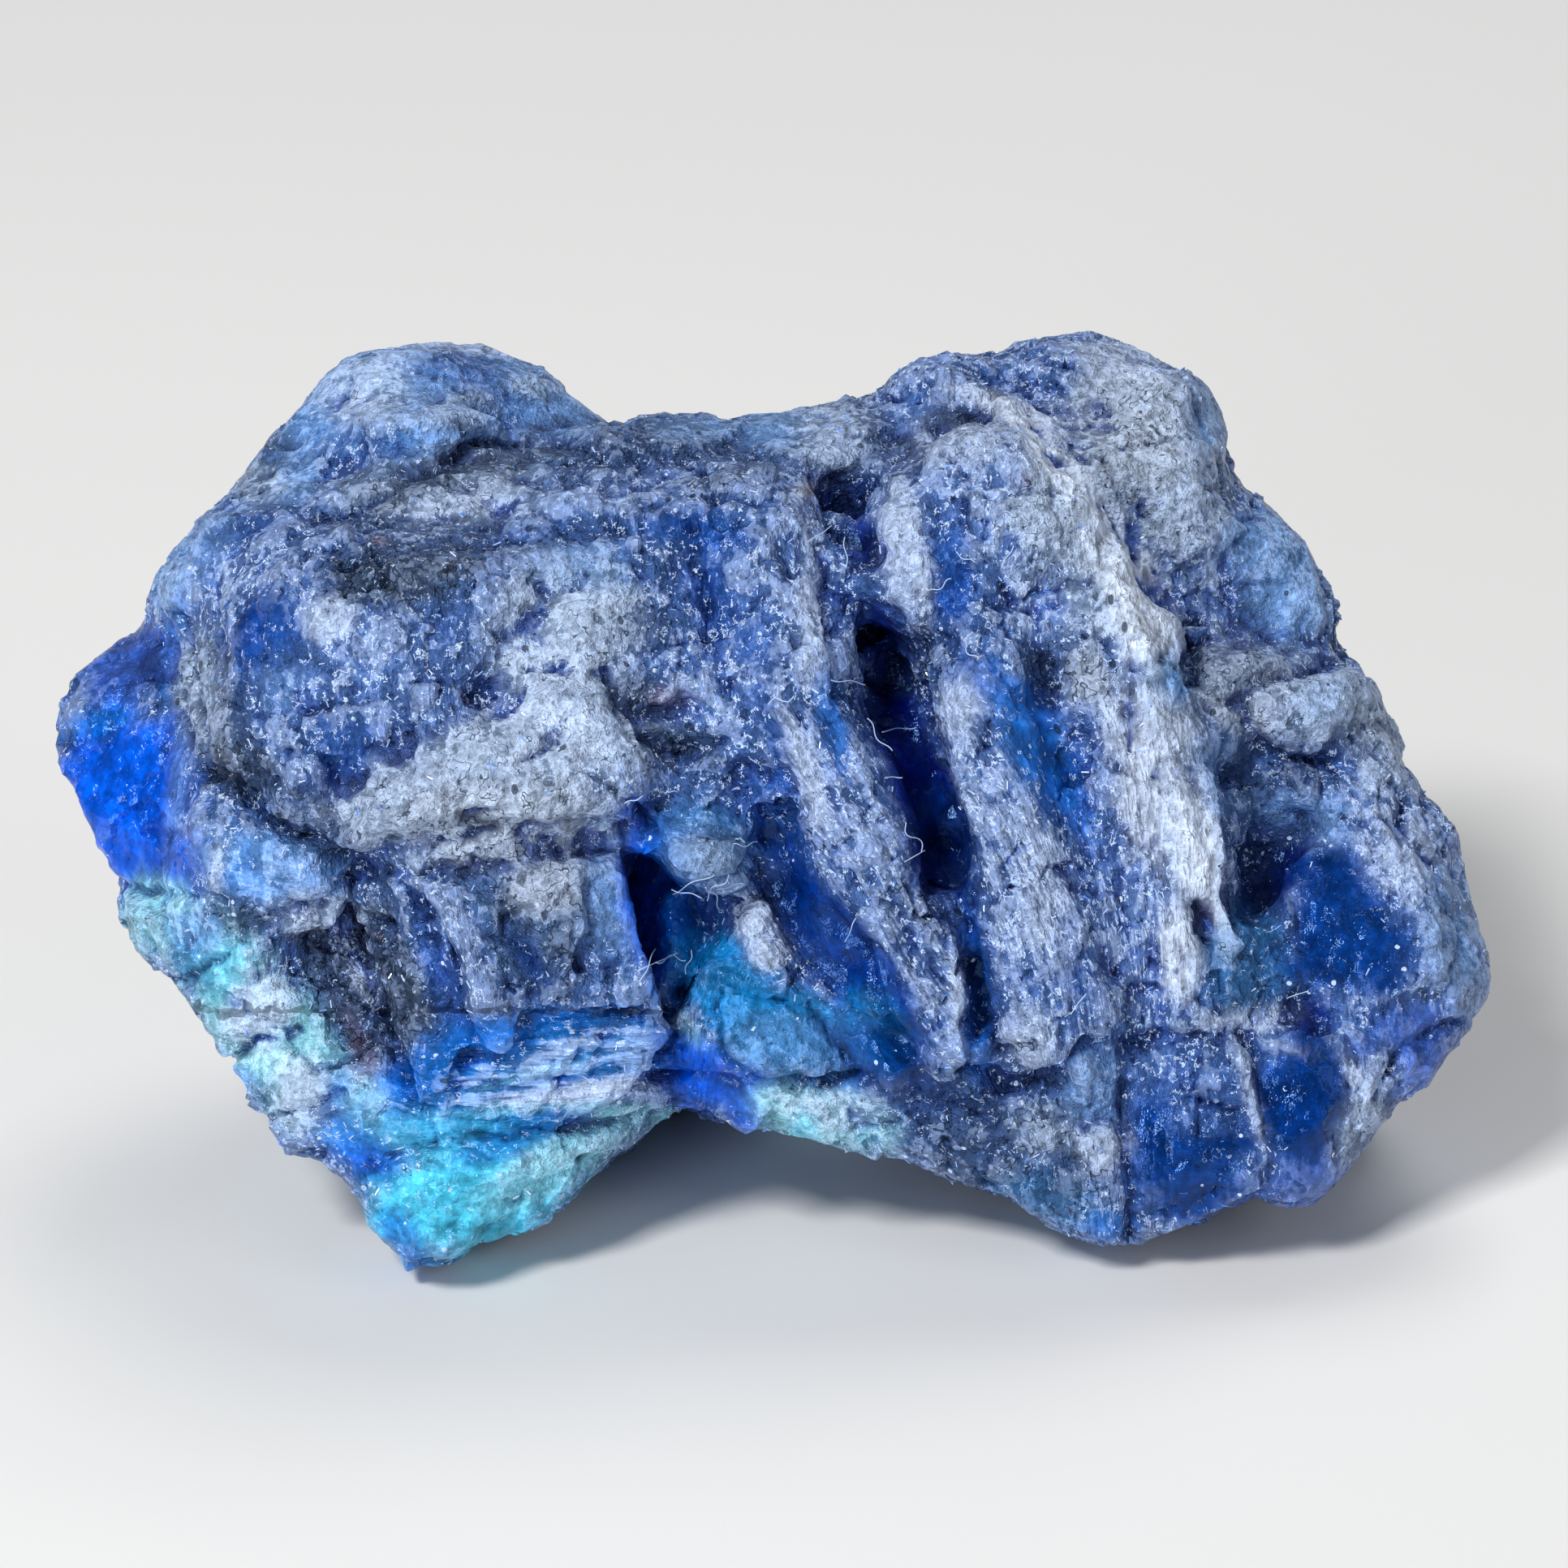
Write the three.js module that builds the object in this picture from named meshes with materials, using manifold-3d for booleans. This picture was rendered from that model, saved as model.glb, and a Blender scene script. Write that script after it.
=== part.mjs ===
// Rough tanzanite cluster: blue-violet crystals grown together, broken out of their matrix, about 46 mm long.
//
// The stone is one natural solid. It is worked out in its broad face's frame, in millimetres:
//   u  to the right across the broad face
//   v  up the broad face
//   w  out of the broad face, towards a viewer
// and then leaned back and set down on its three resting points, with +Z up.

import * as THREE from 'three';
import { ConvexGeometry } from 'three/addons/geometries/ConvexGeometry.js';
import { ImprovedNoise } from 'three/addons/math/ImprovedNoise.js';
import { MarchingCubes } from 'three/addons/objects/MarchingCubes.js';
import * as BufferGeometryUtils from 'three/addons/utils/BufferGeometryUtils.js';
import Module from 'manifold-3d';

// Driving dimensions, mm and degrees
const VIEW_DISTANCE = 188.4;      // the face frame is drawn as it looks from this far in front of the broad face
const LEAN = 23;                  // the broad face leans back by this much where the stone rests
const FLOOR_LEVEL = -13.1;        // level of the resting points, before the stone is set down on Z = 0
const RIM_RADIUS = 3.0;           // roundness of the stone's edge all round the broad face
const RIM_LEVEL = -1.2;           // w of that edge at half height
const RIM_SLOPE = -0.3;           // its top is further back than its foot
const RIM_INSET = -0.15;
const COLUMN_ROOT = 0.3;          // a column reaches about three radii back into the body
const HOLLOW_FLOOR = 0.3;         // share of a hollow's radius that is its floor
const BLEND = 0.9;                // how softly one lump runs into the next
const COLUMN_BLEND = 0.7;         // a column runs into the body this much less softly
const SQUARENESS = 0.45;          // 0 is a round lump, 1 a square one with round corners
const HACKLE_COARSE = 0.55;       // height of the broken surface's large unevenness
const HACKLE_COARSE_PITCH = 4.6;
const HACKLE_FINE = 0.38;
const HACKLE_FINE_PITCH = 2.4;
const LEDGE_HEIGHT = 0.30;        // height of the small steps that cleavage leaves
const LEDGE_PITCH = 2.7;
const LEDGE_WAVER = 2.2;          // how far those steps wander from a straight line
const LEDGE_NORMAL = new THREE.Vector3(0.35, 0.86, 0.37).normalize();
const FRONT_LEVELS = [-1, 3];     // between these levels the hollows of the broad face set in
const BACK_LEVELS = [4, 8];       // and those of the back, measured backwards
const SKIN_CELLS = 64;            // cells of the skin along each way, a power of two
const SKIN_CELL_SIZE = 1.16;
const SKIN_CENTRE = new THREE.Vector3(0, 0, -1.5);
const SKIN_REACH = new THREE.Vector3(25, 17, 14);  // no stone further than this from the centre
const SKIN_TRIANGLES = 30000;     // room for at most this many
const SKIN_ROUNDS = 8;            // rounds that even out the skin's triangles
const SLIDE = 0.55;               // share of the way to its neighbours' middle that a point slides in a round
const SLIDE_FLATNESS = 0.85;      // and how strictly that slide keeps to the surface
const LEAST_STEEPNESS = 0.3;
const LONGEST_STEP = 0.4;
const PROBE = 0.05;
const OUTSIDE = -1;
const WELD = 1e-4;                // points nearer than this are one
const FLOOR_CUT_WIDTH = 80;
const FLOOR_CUT_HEIGHT = 20;

// Outline of the stone around its broad face, clockwise from the left end, as u, v
const OUTLINE = [
  [-23.2, 1.9], [-22.8, 3.0], [-21.7, 4.2], [-20.3, 5.2], [-20.2, 6.3], [-19.5, 7.2], [-18.6, 8.3],
  [-17.7, 9.0], [-16.8, 10.2], [-16.1, 11.3], [-15.2, 12.0], [-14.9, 12.8], [-13.7, 13.6], [-11.1, 14.0],
  [-9.5, 13.9], [-8.2, 13.3], [-6.9, 12.4], [-5.5, 11.5], [-4.3, 11.5], [-3.0, 11.7], [-1.3, 11.5],
  [-0.3, 11.9], [0.9, 11.7], [1.8, 11.9], [3.0, 12.5], [4.3, 13.4], [5.2, 13.7], [6.2, 13.2],
  [7.6, 13.9], [10.0, 14.3], [11.3, 14.0], [12.3, 13.4], [13.4, 12.6], [14.0, 11.6], [13.9, 10.6],
  [14.3, 9.4], [15.4, 8.8], [16.5, 7.7], [17.4, 5.9], [17.3, 4.3], [18.6, 3.3], [19.3, 1.7],
  [19.9, 0.4], [21.0, -0.7], [21.6, -2.4], [22.2, -4.5], [22.5, -5.8], [22.4, -7.1], [21.5, -7.9],
  [20.5, -9.6], [19.6, -10.2], [18.7, -11.4], [17.0, -13.4], [16.2, -13.5], [15.2, -13.1], [13.1, -13.9],
  [10.8, -14.6], [9.7, -14.6], [8.6, -14.0], [7.1, -12.8], [5.8, -12.6], [4.3, -12.1], [2.2, -11.5],
  [-0.2, -11.2], [-1.4, -11.2], [-2.3, -10.5], [-3.5, -10.0], [-5.5, -11.8], [-6.9, -13.3], [-10.6, -15.3],
  [-11.9, -15.2], [-12.9, -14.3], [-13.9, -12.9], [-14.8, -12.0], [-15.8, -11.2], [-16.7, -10.0], [-16.9, -8.9],
  [-17.8, -8.2], [-18.9, -6.8], [-20.1, -5.8], [-21.0, -4.8], [-21.2, -2.8], [-22.2, -1.1], [-22.7, 0.4],
];

// Lumps of the cluster: centre u, v, w, half sizes along u, v, w, and a turn in the broad face in degrees
const LUMPS = [
  // body behind the broad face
  { at: [0, -0.5, -4.5], half: [17.5, 9.5, 6.5], turn: 0 },
  { at: [-11.5, 2.5, -4.5], half: [7.5, 7.0, 6.0], turn: 10 },
  { at: [11.5, 3.5, -5.5], half: [7.0, 7.5, 5.5], turn: -15 },
  { at: [13.5, -6.0, -3.0], half: [7.0, 5.5, 5.5], turn: -20 },
  { at: [-9.0, -6.5, -3.0], half: [7.5, 5.5, 6.0], turn: -25 },
  { at: [2.5, -6.0, -8.2], half: [7.4, 4.4, 4.5], turn: 5 },
  { at: [-5.0, -6.4, -6.0], half: [5.6, 4.4, 4.6], turn: -15 },
  { at: [9.5, -6.6, -5.0], half: [5.6, 4.4, 4.6], turn: 10 },
  { at: [3.0, 6.0, -6.0], half: [7.0, 5.5, 5.0], turn: 0 },
  // great lobe on the left of the broad face
  { at: [-12.3, 3.4, 1.8], half: [6.6, 5.9, 7.2], turn: 8 },
  { at: [-17.6, 6.7, -0.6], half: [2.5, 2.5, 4.2], turn: 25 },
  { at: [-6.6, 4.4, 2.2], half: [6.0, 4.8, 6.0], turn: -12 },
  { at: [-8.8, 0.3, 3.2], half: [5.9, 3.3, 6.6], turn: 10 },
  { at: [-15.9, -0.6, 1.0], half: [3.4, 4.4, 5.4], turn: -28 },
  { at: [-3.6, 2.6, 3.0], half: [2.6, 3.4, 4.4], turn: 0 },
  // low ridges along the top, behind the great lobe
  { at: [-11.0, 9.3, 0.2], half: [4.4, 2.4, 4.4], turn: -6 },
  { at: [-4.0, 9.2, 0.4], half: [5.6, 2.6, 4.6], turn: -3 },
  { at: [1.4, 9.6, -0.6], half: [3.2, 2.2, 4.0], turn: 8 },
  // smooth pale lobe at the upper left, set back
  { at: [-11.4, 11.3, -4.6], half: [4.3, 2.7, 4.0], turn: -12 },
  { at: [-15.2, 9.6, -3.6], half: [2.4, 2.2, 3.4], turn: 40 },
  // pale lobe at the upper right, set back
  { at: [10.0, 11.5, -3.8], half: [4.0, 2.7, 4.0], turn: -8 },
  { at: [12.0, 7.8, -2.4], half: [3.0, 4.6, 4.6], turn: 14 },
  { at: [15.4, 6.0, -3.2], half: [2.2, 3.2, 3.8], turn: 18 },
  { at: [5.2, 11.9, -2.4], half: [1.9, 1.8, 3.4], turn: 0 },
  // small lumps on the right shoulder
  { at: [15.0, 2.9, -0.4], half: [3.2, 1.8, 3.8], turn: -10 },
  { at: [17.4, 2.4, -0.8], half: [1.8, 1.9, 3.0], turn: 0 },
  { at: [17.3, -0.4, 0.0], half: [2.6, 1.5, 2.8], turn: -18 },
  // middle of the right half
  { at: [7.0, 8.6, 1.8], half: [3.5, 3.3, 4.6], turn: -20 },
  { at: [10.4, 0.6, 2.6], half: [3.4, 8.2, 3.6], turn: 14 },
  { at: [12.4, -5.4, 1.6], half: [3.8, 4.4, 4.0], turn: 10 },
  { at: [8.0, -6.4, 3.2], half: [2.9, 3.9, 4.0], turn: 20 },
  { at: [15.6, -6.2, 1.0], half: [2.6, 2.6, 3.2], turn: 0 },
  // lower edge of the right half
  { at: [8.9, -11.8, 1.6], half: [3.4, 2.5, 3.7], turn: -8 },
  { at: [5.2, -11.0, 1.0], half: [2.9, 1.5, 2.8], turn: -16 },
  // saddles between the columns, above and below the deep groove
  { at: [3.0, 7.2, 2.6], half: [1.9, 2.8, 4.0], turn: 0 },
  { at: [6.2, -5.4, 2.6], half: [2.2, 2.6, 3.9], turn: 20 },
  { at: [9.2, 2.4, 2.2], half: [2.0, 4.2, 3.6], turn: 12 },
  // hollow in the middle: its head, its floor and its small lump
  { at: [-3.0, 0.6, 2.8], half: [3.1, 2.8, 4.1], turn: 0 },
  { at: [0.4, -4.4, 1.6], half: [3.2, 3.6, 3.2], turn: 20 },
  { at: [-0.6, -7.7, 2.6], half: [3.3, 2.2, 3.2], turn: -14 },
  { at: [-2.5, -1.9, 5.0], half: [1.9, 1.5, 2.6], turn: -6 },
  // ledge along the lower left edge
  { at: [-16.6, -6.0, 1.4], half: [2.2, 4.6, 2.9], turn: 38 },
];

// Columns: from one end to the other as u, v, w, with the radius at each end
const COLUMNS = [
  // first column of the right half, upper and lower part
  { from: [-1.4, 7.6, 4.2], to: [0.4, 1.8, 5.8], radius: [2.7, 2.2] },
  { from: [0.6, 3.4, 6.0], to: [5.4, -9.2, 6.3], radius: [2.15, 1.05] },
  // second column, upper and lower part
  { from: [5.4, 8.0, 3.8], to: [6.4, 2.6, 6.0], radius: [2.4, 1.75] },
  { from: [6.6, 1.4, 6.4], to: [8.3, -7.0, 5.2], radius: [1.1, 2.3] },
  // floor of the groove between them
  { from: [3.5, 3.2, 2.6], to: [5.2, -2.6, 2.2], radius: [1.5, 1.5] },
  // pale fibrous ridge
  { from: [5.6, 12.0, -1.0], to: [8.8, 10.3, 1.6], radius: [1.2, 1.4] },
  { from: [8.8, 10.3, 1.6], to: [11.2, 4.2, 3.6], radius: [1.4, 1.6] },
  { from: [11.2, 4.2, 3.6], to: [13.9, -4.4, 3.8], radius: [1.6, 1.0] },
  // crest along the top of the great lobe
  { from: [-18.4, 8.4, 0.4], to: [-7.0, 8.0, 4.8], radius: [1.2, 1.6] },
  { from: [-7.0, 8.0, 4.8], to: [-2.6, 8.0, 4.8], radius: [1.6, 1.4] },
  // small white grain in the middle hollow
  { from: [-0.9, -4.2, 4.8], to: [-0.5, -5.6, 4.7], radius: [0.8, 0.85] },
];

// Hollows worn or broken into the surface: from one end to the other as u, v, with radius and depth at each end
const FRONT_HOLLOWS = [
  // head of the deep groove between the two columns of the right half
  { from: [2.8, 4.6], to: [3.4, 2.6], radius: [0.8, 1.3], depth: [1.2, 0.8] },
  // narrow cleft that carries it on downwards
  { from: [5.6, -4.6], to: [6.6, -9.0], radius: [0.7, 0.8], depth: [0.8, 1.0] },
  // shallow blue band right of the second column
  { from: [8.4, 3.6], to: [9.2, -0.6], radius: [0.9, 1.1], depth: [0.8, 1.2] },
  // fissure at the head of the groove
  { from: [2.3, 9.0], to: [2.9, 6.6], radius: [0.8, 0.8], depth: [1.6, 1.3] },
  // hollow in the middle, right of the broken block
  { from: [-4.5, -3.0], to: [-3.7, -6.4], radius: [0.9, 1.3], depth: [1.6, 1.2] },
  // crease between the fibrous ridge and the right end
  { from: [14.2, 0.2], to: [15.6, -3.0], radius: [0.8, 1.0], depth: [0.7, 1.0] },
  // creases that set the upper lobes back
  { from: [-14.8, 8.4], to: [-7.4, 9.0], radius: [0.8, 0.8], depth: [1.0, 0.8] },
  { from: [-14.4, 10.2], to: [-6.6, 10.8], radius: [0.9, 0.9], depth: [1.3, 1.1] },
  { from: [7.1, 12.8], to: [9.8, 9.6], radius: [0.7, 0.8], depth: [1.2, 1.5] },
  { from: [9.8, 9.6], to: [11.8, 6.2], radius: [0.8, 0.7], depth: [1.5, 1.0] },
  // folds in the great lobe
  { from: [-6.9, 7.4], to: [-9.5, 2.5], radius: [0.8, 1.0], depth: [0.6, 1.0] },
  { from: [-9.5, 2.5], to: [-14.4, -0.2], radius: [1.0, 0.9], depth: [0.6, 0.5] },
  { from: [-4.4, 3.0], to: [-3.6, 0.8], radius: [1.2, 1.3], depth: [0.7, 0.5] },
];
const BACK_HOLLOWS = [
  { from: [-9.0, 6.5], to: [-3.0, -3.0], radius: [2.6, 3.0], depth: [1.8, 2.2] },
  { from: [6.5, 2.0], to: [15.0, -2.5], radius: [2.8, 2.8], depth: [2.2, 1.6] },
  { from: [-16.0, -1.0], to: [-9.0, -5.0], radius: [2.0, 2.4], depth: [1.2, 1.6] },
];

// Flat-faced crystals: corners as u, v, w
const CRYSTALS = {
  vivid_left: [
    [-23.4, 2.0, -2.2], [-22.9, 3.0, -1.4], [-19.4, 3.4, 1.4], [-19.0, -2.8, 3.0], [-20.0, -3.6, 1.6],
    [-21.3, -3.2, 0.6], [-22.6, -0.6, 0.8], [-23.3, 1.1, -0.8], [-19.0, 2.0, -4.0], [-20.4, -2.0, -3.4],
  ],
  block_left: [
    [-14.3, -1.6, 4.2], [-12.3, -2.2, 5.8], [-12.2, -3.6, 7.0], [-10.4, -8.2, 7.0], [-10.8, -9.8, 6.4],
    [-11.7, -10.2, 6.0], [-12.8, -7.0, 5.2], [-13.7, -3.4, 4.6], [-12.6, -1.8, 0.5], [-10.6, -2.2, 0.5],
    [-10.8, -9.0, 1.5], [-12.2, -8.4, 1.5],
  ],
  block_ridge: [
    [-12.2, -1.8, 5.6], [-10.8, -1.8, 6.2], [-11.9, -3.2, 7.2], [-10.7, -3.3, 8.1], [-9.2, -3.8, 8.0],
    [-8.3, -7.4, 7.8], [-8.8, -8.6, 7.0], [-10.3, -8.8, 6.9], [-11.2, -5.2, 8.0], [-11.6, -2.4, 2.0],
    [-8.6, -2.4, 2.0], [-9.6, -7.6, 2.0],
  ],
  block_plateau: [
    [-10.4, -1.4, 6.0], [-6.5, -1.5, 6.3], [-9.9, -3.0, 7.7], [-6.6, -2.8, 8.1], [-6.3, -4.6, 8.5],
    [-7.2, -6.9, 8.2], [-9.0, -8.1, 7.5], [-9.6, -5.2, 7.9], [-9.8, -2.0, 2.0], [-6.4, -2.0, 2.0],
    [-7.4, -6.8, 2.0], [-9.0, -7.6, 2.4],
  ],
  block_column: [
    [-6.9, -1.6, 6.3], [-5.5, -1.7, 5.9], [-7.1, -3.0, 7.8], [-5.2, -2.8, 7.3], [-4.3, -6.5, 6.9],
    [-4.7, -7.0, 7.3], [-7.2, -7.3, 7.7], [-7.4, -4.8, 8.0], [-5.6, -1.8, 1.6], [-4.6, -6.4, 1.6],
    [-7.0, -6.8, 1.6], [-7.0, -2.0, 1.6],
  ],
  left_shelf: [
    [-18.9, -1.6, 3.4], [-18.6, -3.2, 4.6], [-14.0, -3.0, 5.2], [-14.4, -4.6, 5.0], [-16.8, -5.0, 4.4],
    [-19.4, -4.2, 3.0], [-18.0, -1.8, 0.0], [-14.0, -3.0, 0.0], [-17.6, -5.0, 0.0],
  ],
  layered_ledge: [
    [-11.6, -9.0, 6.2], [-8.8, -7.2, 6.9], [-4.3, -6.1, 6.4], [-3.6, -8.0, 6.0], [-5.0, -10.2, 5.2],
    [-10.8, -11.6, 5.0], [-12.2, -10.8, 4.6], [-11.0, -8.6, 1.0], [-4.2, -7.2, 1.0], [-10.8, -11.0, 1.6],
  ],
  keel: [
    [-14.2, -11.4, 3.0], [-6.2, -11.2, 4.2], [-6.0, -12.0, 3.4], [-11.0, -15.4, 3.4], [-12.0, -15.3, 2.8],
    [-13.2, -13.6, 2.4], [-13.0, -11.2, -2.0], [-7.0, -10.8, -2.0], [-11.0, -14.6, 0.0],
  ],
  blue_wedge: [
    [-4.2, -7.4, 4.4], [-3.0, -7.8, 5.0], [-0.5, -9.7, 4.6], [-0.7, -10.8, 4.0], [-1.2, -11.4, 3.4],
    [-2.3, -10.5, 3.6], [-3.7, -9.8, 3.8], [-3.4, -8.0, 0.5], [-1.2, -10.0, 0.5],
  ],
  facet_right: [
    [17.5, 0.2, 0.4], [19.0, -0.4, 2.2], [20.9, -0.7, -0.4], [21.9, -2.5, -0.6], [22.5, -5.8, 0.0],
    [22.4, -7.0, 1.0], [20.9, -6.2, 4.2], [17.5, -7.9, 4.2], [15.6, -2.6, 3.6], [16.0, -7.0, 4.0],
    [16.5, -1.0, -4.0], [20.6, -3.0, -4.0], [17.0, -7.0, -3.6],
  ],
  violet_corner: [
    [18.7, -7.8, 3.4], [21.6, -7.7, 1.4], [20.7, -9.7, 1.4], [20.0, -10.2, 1.8], [18.6, -9.9, 3.6],
    [18.6, -8.4, -2.0], [20.6, -8.4, -1.6], [18.8, -9.8, -1.4],
  ],
  striated_foot: [
    [11.0, -8.2, 4.9], [14.6, -8.0, 5.2], [15.4, -12.9, 5.0], [13.1, -14.0, 4.0], [10.9, -14.6, 3.4],
    [10.6, -11.4, 4.6], [11.0, -8.6, -1.0], [15.0, -8.6, -1.0], [14.6, -12.4, -1.0], [11.2, -13.4, -0.6],
  ],
  prism_foot: [
    [14.8, -8.6, 4.6], [16.6, -7.7, 5.2], [18.7, -8.0, 4.2], [19.2, -10.4, 3.0], [18.8, -11.4, 2.4],
    [17.1, -13.4, 2.6], [16.2, -13.6, 3.0], [15.2, -13.0, 4.2], [15.0, -8.8, -1.0], [18.4, -9.0, -1.6],
    [16.4, -12.6, -1.0],
  ],
};

const hackle = new ImprovedNoise();

function length(x, y, z) {
  return Math.sqrt(x * x + y * y + z * z);
}

// Smooth join of two distances
function softMin(a, b, k) {
  const h = Math.max(k - Math.abs(a - b), 0) / k;
  return Math.min(a, b) - h * h * k * 0.25;
}

// Distance to a lump: an ellipsoid, a little squared, that may be turned in the broad face
function lumpDistance(p, lump) {
  const du = p.x - lump.at[0];
  const dv = p.y - lump.at[1];
  const dw = p.z - lump.at[2];
  const a = du * lump.cos + dv * lump.sin;
  const b = dv * lump.cos - du * lump.sin;
  const [ra, rb, rc] = lump.half;
  const k0 = length(a / ra, b / rb, dw / rc);
  if (k0 < 1e-6) return -Math.min(ra, rb, rc);
  const k1 = length(a / (ra * ra), b / (rb * rb), dw / (rc * rc));
  const corner = (Math.abs(a / ra) ** 4 + Math.abs(b / rb) ** 4 + Math.abs(dw / rc) ** 4) ** 0.25;
  const squared = THREE.MathUtils.lerp(k0, corner, SQUARENESS);
  return k0 * (squared - 1) / k1;
}

// Distance to a tapered column with round ends, rooted in the body behind it
function columnDistance(p, column) {
  const [ax, ay, az] = column.from;
  const ex = column.to[0] - ax;
  const ey = column.to[1] - ay;
  const ez = column.to[2] - az;
  const dx = p.x - ax;
  const dy = p.y - ay;
  const dz = p.z - az;
  const along = (dx * ex + dy * ey + dz * ez) / (ex * ex + ey * ey + ez * ez);
  const t = Math.min(Math.max(along, 0), 1);
  const radius = column.radius[0] + (column.radius[1] - column.radius[0]) * t;
  const above = dz - ez * t;
  return length(dx - ex * t, dy - ey * t, above < 0 ? above * COLUMN_ROOT : above) - radius;
}

// How deep the surface lies in a hollow at a point of the broad face
function hollowDepth(u, v, hollow) {
  const ex = hollow.to[0] - hollow.from[0];
  const ey = hollow.to[1] - hollow.from[1];
  const dx = u - hollow.from[0];
  const dy = v - hollow.from[1];
  const t = THREE.MathUtils.clamp((dx * ex + dy * ey) / (ex * ex + ey * ey), 0, 1);
  const radius = THREE.MathUtils.lerp(hollow.radius[0], hollow.radius[1], t);
  const away = length(dx - ex * t, dy - ey * t, 0) / radius;
  const depth = THREE.MathUtils.lerp(hollow.depth[0], hollow.depth[1], t);
  return depth * (1 - THREE.MathUtils.smoothstep(away, HOLLOW_FLOOR, 1));
}

// Distance to the outline in the broad face, negative inside
function outlineDistance(u, v) {
  let nearest = Infinity;
  let inside = false;
  for (let i = 0, j = OUTLINE.length - 1; i < OUTLINE.length; j = i, i += 1) {
    const [ax, ay] = OUTLINE[i];
    const [bx, by] = OUTLINE[j];
    const ex = bx - ax;
    const ey = by - ay;
    const t = Math.min(Math.max(((u - ax) * ex + (v - ay) * ey) / (ex * ex + ey * ey), 0), 1);
    nearest = Math.min(nearest, length(u - ax - ex * t, v - ay - ey * t, 0));
    if ((ay > v) !== (by > v) && u < (bx - ax) * (v - ay) / (by - ay) + ax) inside = !inside;
  }
  return inside ? -nearest : nearest;
}

// Unevenness of the broken surface
function hackleHeight(p) {
  const coarse = hackle.noise(
    p.x / HACKLE_COARSE_PITCH + 7.3,
    p.y / HACKLE_COARSE_PITCH + 2.9,
    p.z / HACKLE_COARSE_PITCH + 5.1,
  );
  const fine = hackle.noise(
    p.x / HACKLE_FINE_PITCH + 1.7,
    p.y / HACKLE_FINE_PITCH + 8.3,
    p.z / HACKLE_FINE_PITCH + 3.3,
  );
  const step = (p.dot(LEDGE_NORMAL) + LEDGE_WAVER * coarse) / LEDGE_PITCH;
  const ledge = Math.abs(step - Math.floor(step) - 0.5) * 2 - 0.5;
  return HACKLE_COARSE * coarse + HACKLE_FINE * fine + LEDGE_HEIGHT * ledge;
}

for (const lump of LUMPS) {
  lump.cos = Math.cos(THREE.MathUtils.degToRad(lump.turn));
  lump.sin = Math.sin(THREE.MathUtils.degToRad(lump.turn));
}

// The stone's distance field: the body and its lumps joined, the hollows cut, then the broken surface
function stoneDistance(p) {
  const edge = outlineDistance(p.x, p.y) + RIM_INSET;
  const depth = p.z - (RIM_LEVEL + RIM_SLOPE * p.y);
  let distance = length(Math.max(edge + RIM_RADIUS, 0), depth, 0) - RIM_RADIUS;
  for (const lump of LUMPS) {
    distance = softMin(distance, lumpDistance(p, lump), BLEND);
  }
  for (const column of COLUMNS) {
    distance = softMin(distance, columnDistance(p, column), BLEND * COLUMN_BLEND);
  }
  const front = THREE.MathUtils.smoothstep(p.z, ...FRONT_LEVELS);
  const back = THREE.MathUtils.smoothstep(-p.z, ...BACK_LEVELS);
  let carved = 0;
  for (const hollow of front > 0 ? FRONT_HOLLOWS : []) {
    carved = Math.max(carved, hollowDepth(p.x, p.y, hollow) * front);
  }
  for (const hollow of back > 0 ? BACK_HOLLOWS : []) {
    carved = Math.max(carved, hollowDepth(p.x, p.y, hollow) * back);
  }
  distance += carved;
  distance -= hackleHeight(p);
  return Math.max(distance, edge);
}

// The stone's closed skin as triangles about one cell across
function drawSkin() {
  const cubes = new MarchingCubes(SKIN_CELLS, undefined, false, false, SKIN_TRIANGLES);
  cubes.isolation = 0;
  const corner = new THREE.Vector3();
  for (let k = 0; k < SKIN_CELLS; k += 1) {
    for (let j = 0; j < SKIN_CELLS; j += 1) {
      for (let i = 0; i < SKIN_CELLS; i += 1) {
        corner.set(i, j, k).subScalar(SKIN_CELLS / 2).multiplyScalar(SKIN_CELL_SIZE);
        const near = Math.abs(corner.x) < SKIN_REACH.x && Math.abs(corner.y) < SKIN_REACH.y
          && Math.abs(corner.z) < SKIN_REACH.z;
        cubes.setCell(i, j, k, near ? -stoneDistance(corner.add(SKIN_CENTRE)) : OUTSIDE);
      }
    }
  }
  cubes.update();
  const raw = new THREE.BufferGeometry();
  raw.setAttribute('position', new THREE.BufferAttribute(cubes.positionArray.slice(0, cubes.count * 3), 3));
  const skin = largestPiece(BufferGeometryUtils.mergeVertices(raw, 1e-6));
  const halfSpan = SKIN_CELLS * SKIN_CELL_SIZE / 2;
  skin.scale(halfSpan, halfSpan, halfSpan);
  skin.translate(SKIN_CENTRE.x, SKIN_CENTRE.y, SKIN_CENTRE.z);
  evenOut(skin);
  return skin;
}

// The triangles that hang together with the most others, without loose chips and closed gaps inside
function largestPiece(geometry) {
  const index = geometry.getIndex();
  const parent = Array.from({ length: geometry.getAttribute('position').count }, (_, i) => i);
  const root = (i) => {
    let at = i;
    while (parent[at] !== at) {
      parent[at] = parent[parent[at]];
      at = parent[at];
    }
    return at;
  };
  const triangles = [];
  for (let i = 0; i < index.count; i += 3) {
    const [a, b, c] = [index.getX(i), index.getX(i + 1), index.getX(i + 2)];
    if (a !== b && b !== c && c !== a) {
      triangles.push([a, b, c]);
      parent[root(b)] = root(a);
      parent[root(c)] = root(a);
    }
  }
  const sizes = new Map();
  for (const [a] of triangles) sizes.set(root(a), (sizes.get(root(a)) ?? 0) + 1);
  const [largest] = [...sizes].sort((x, y) => y[1] - x[1])[0];
  geometry.setIndex(triangles.filter(([a]) => root(a) === largest).flat());
  return geometry;
}

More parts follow.
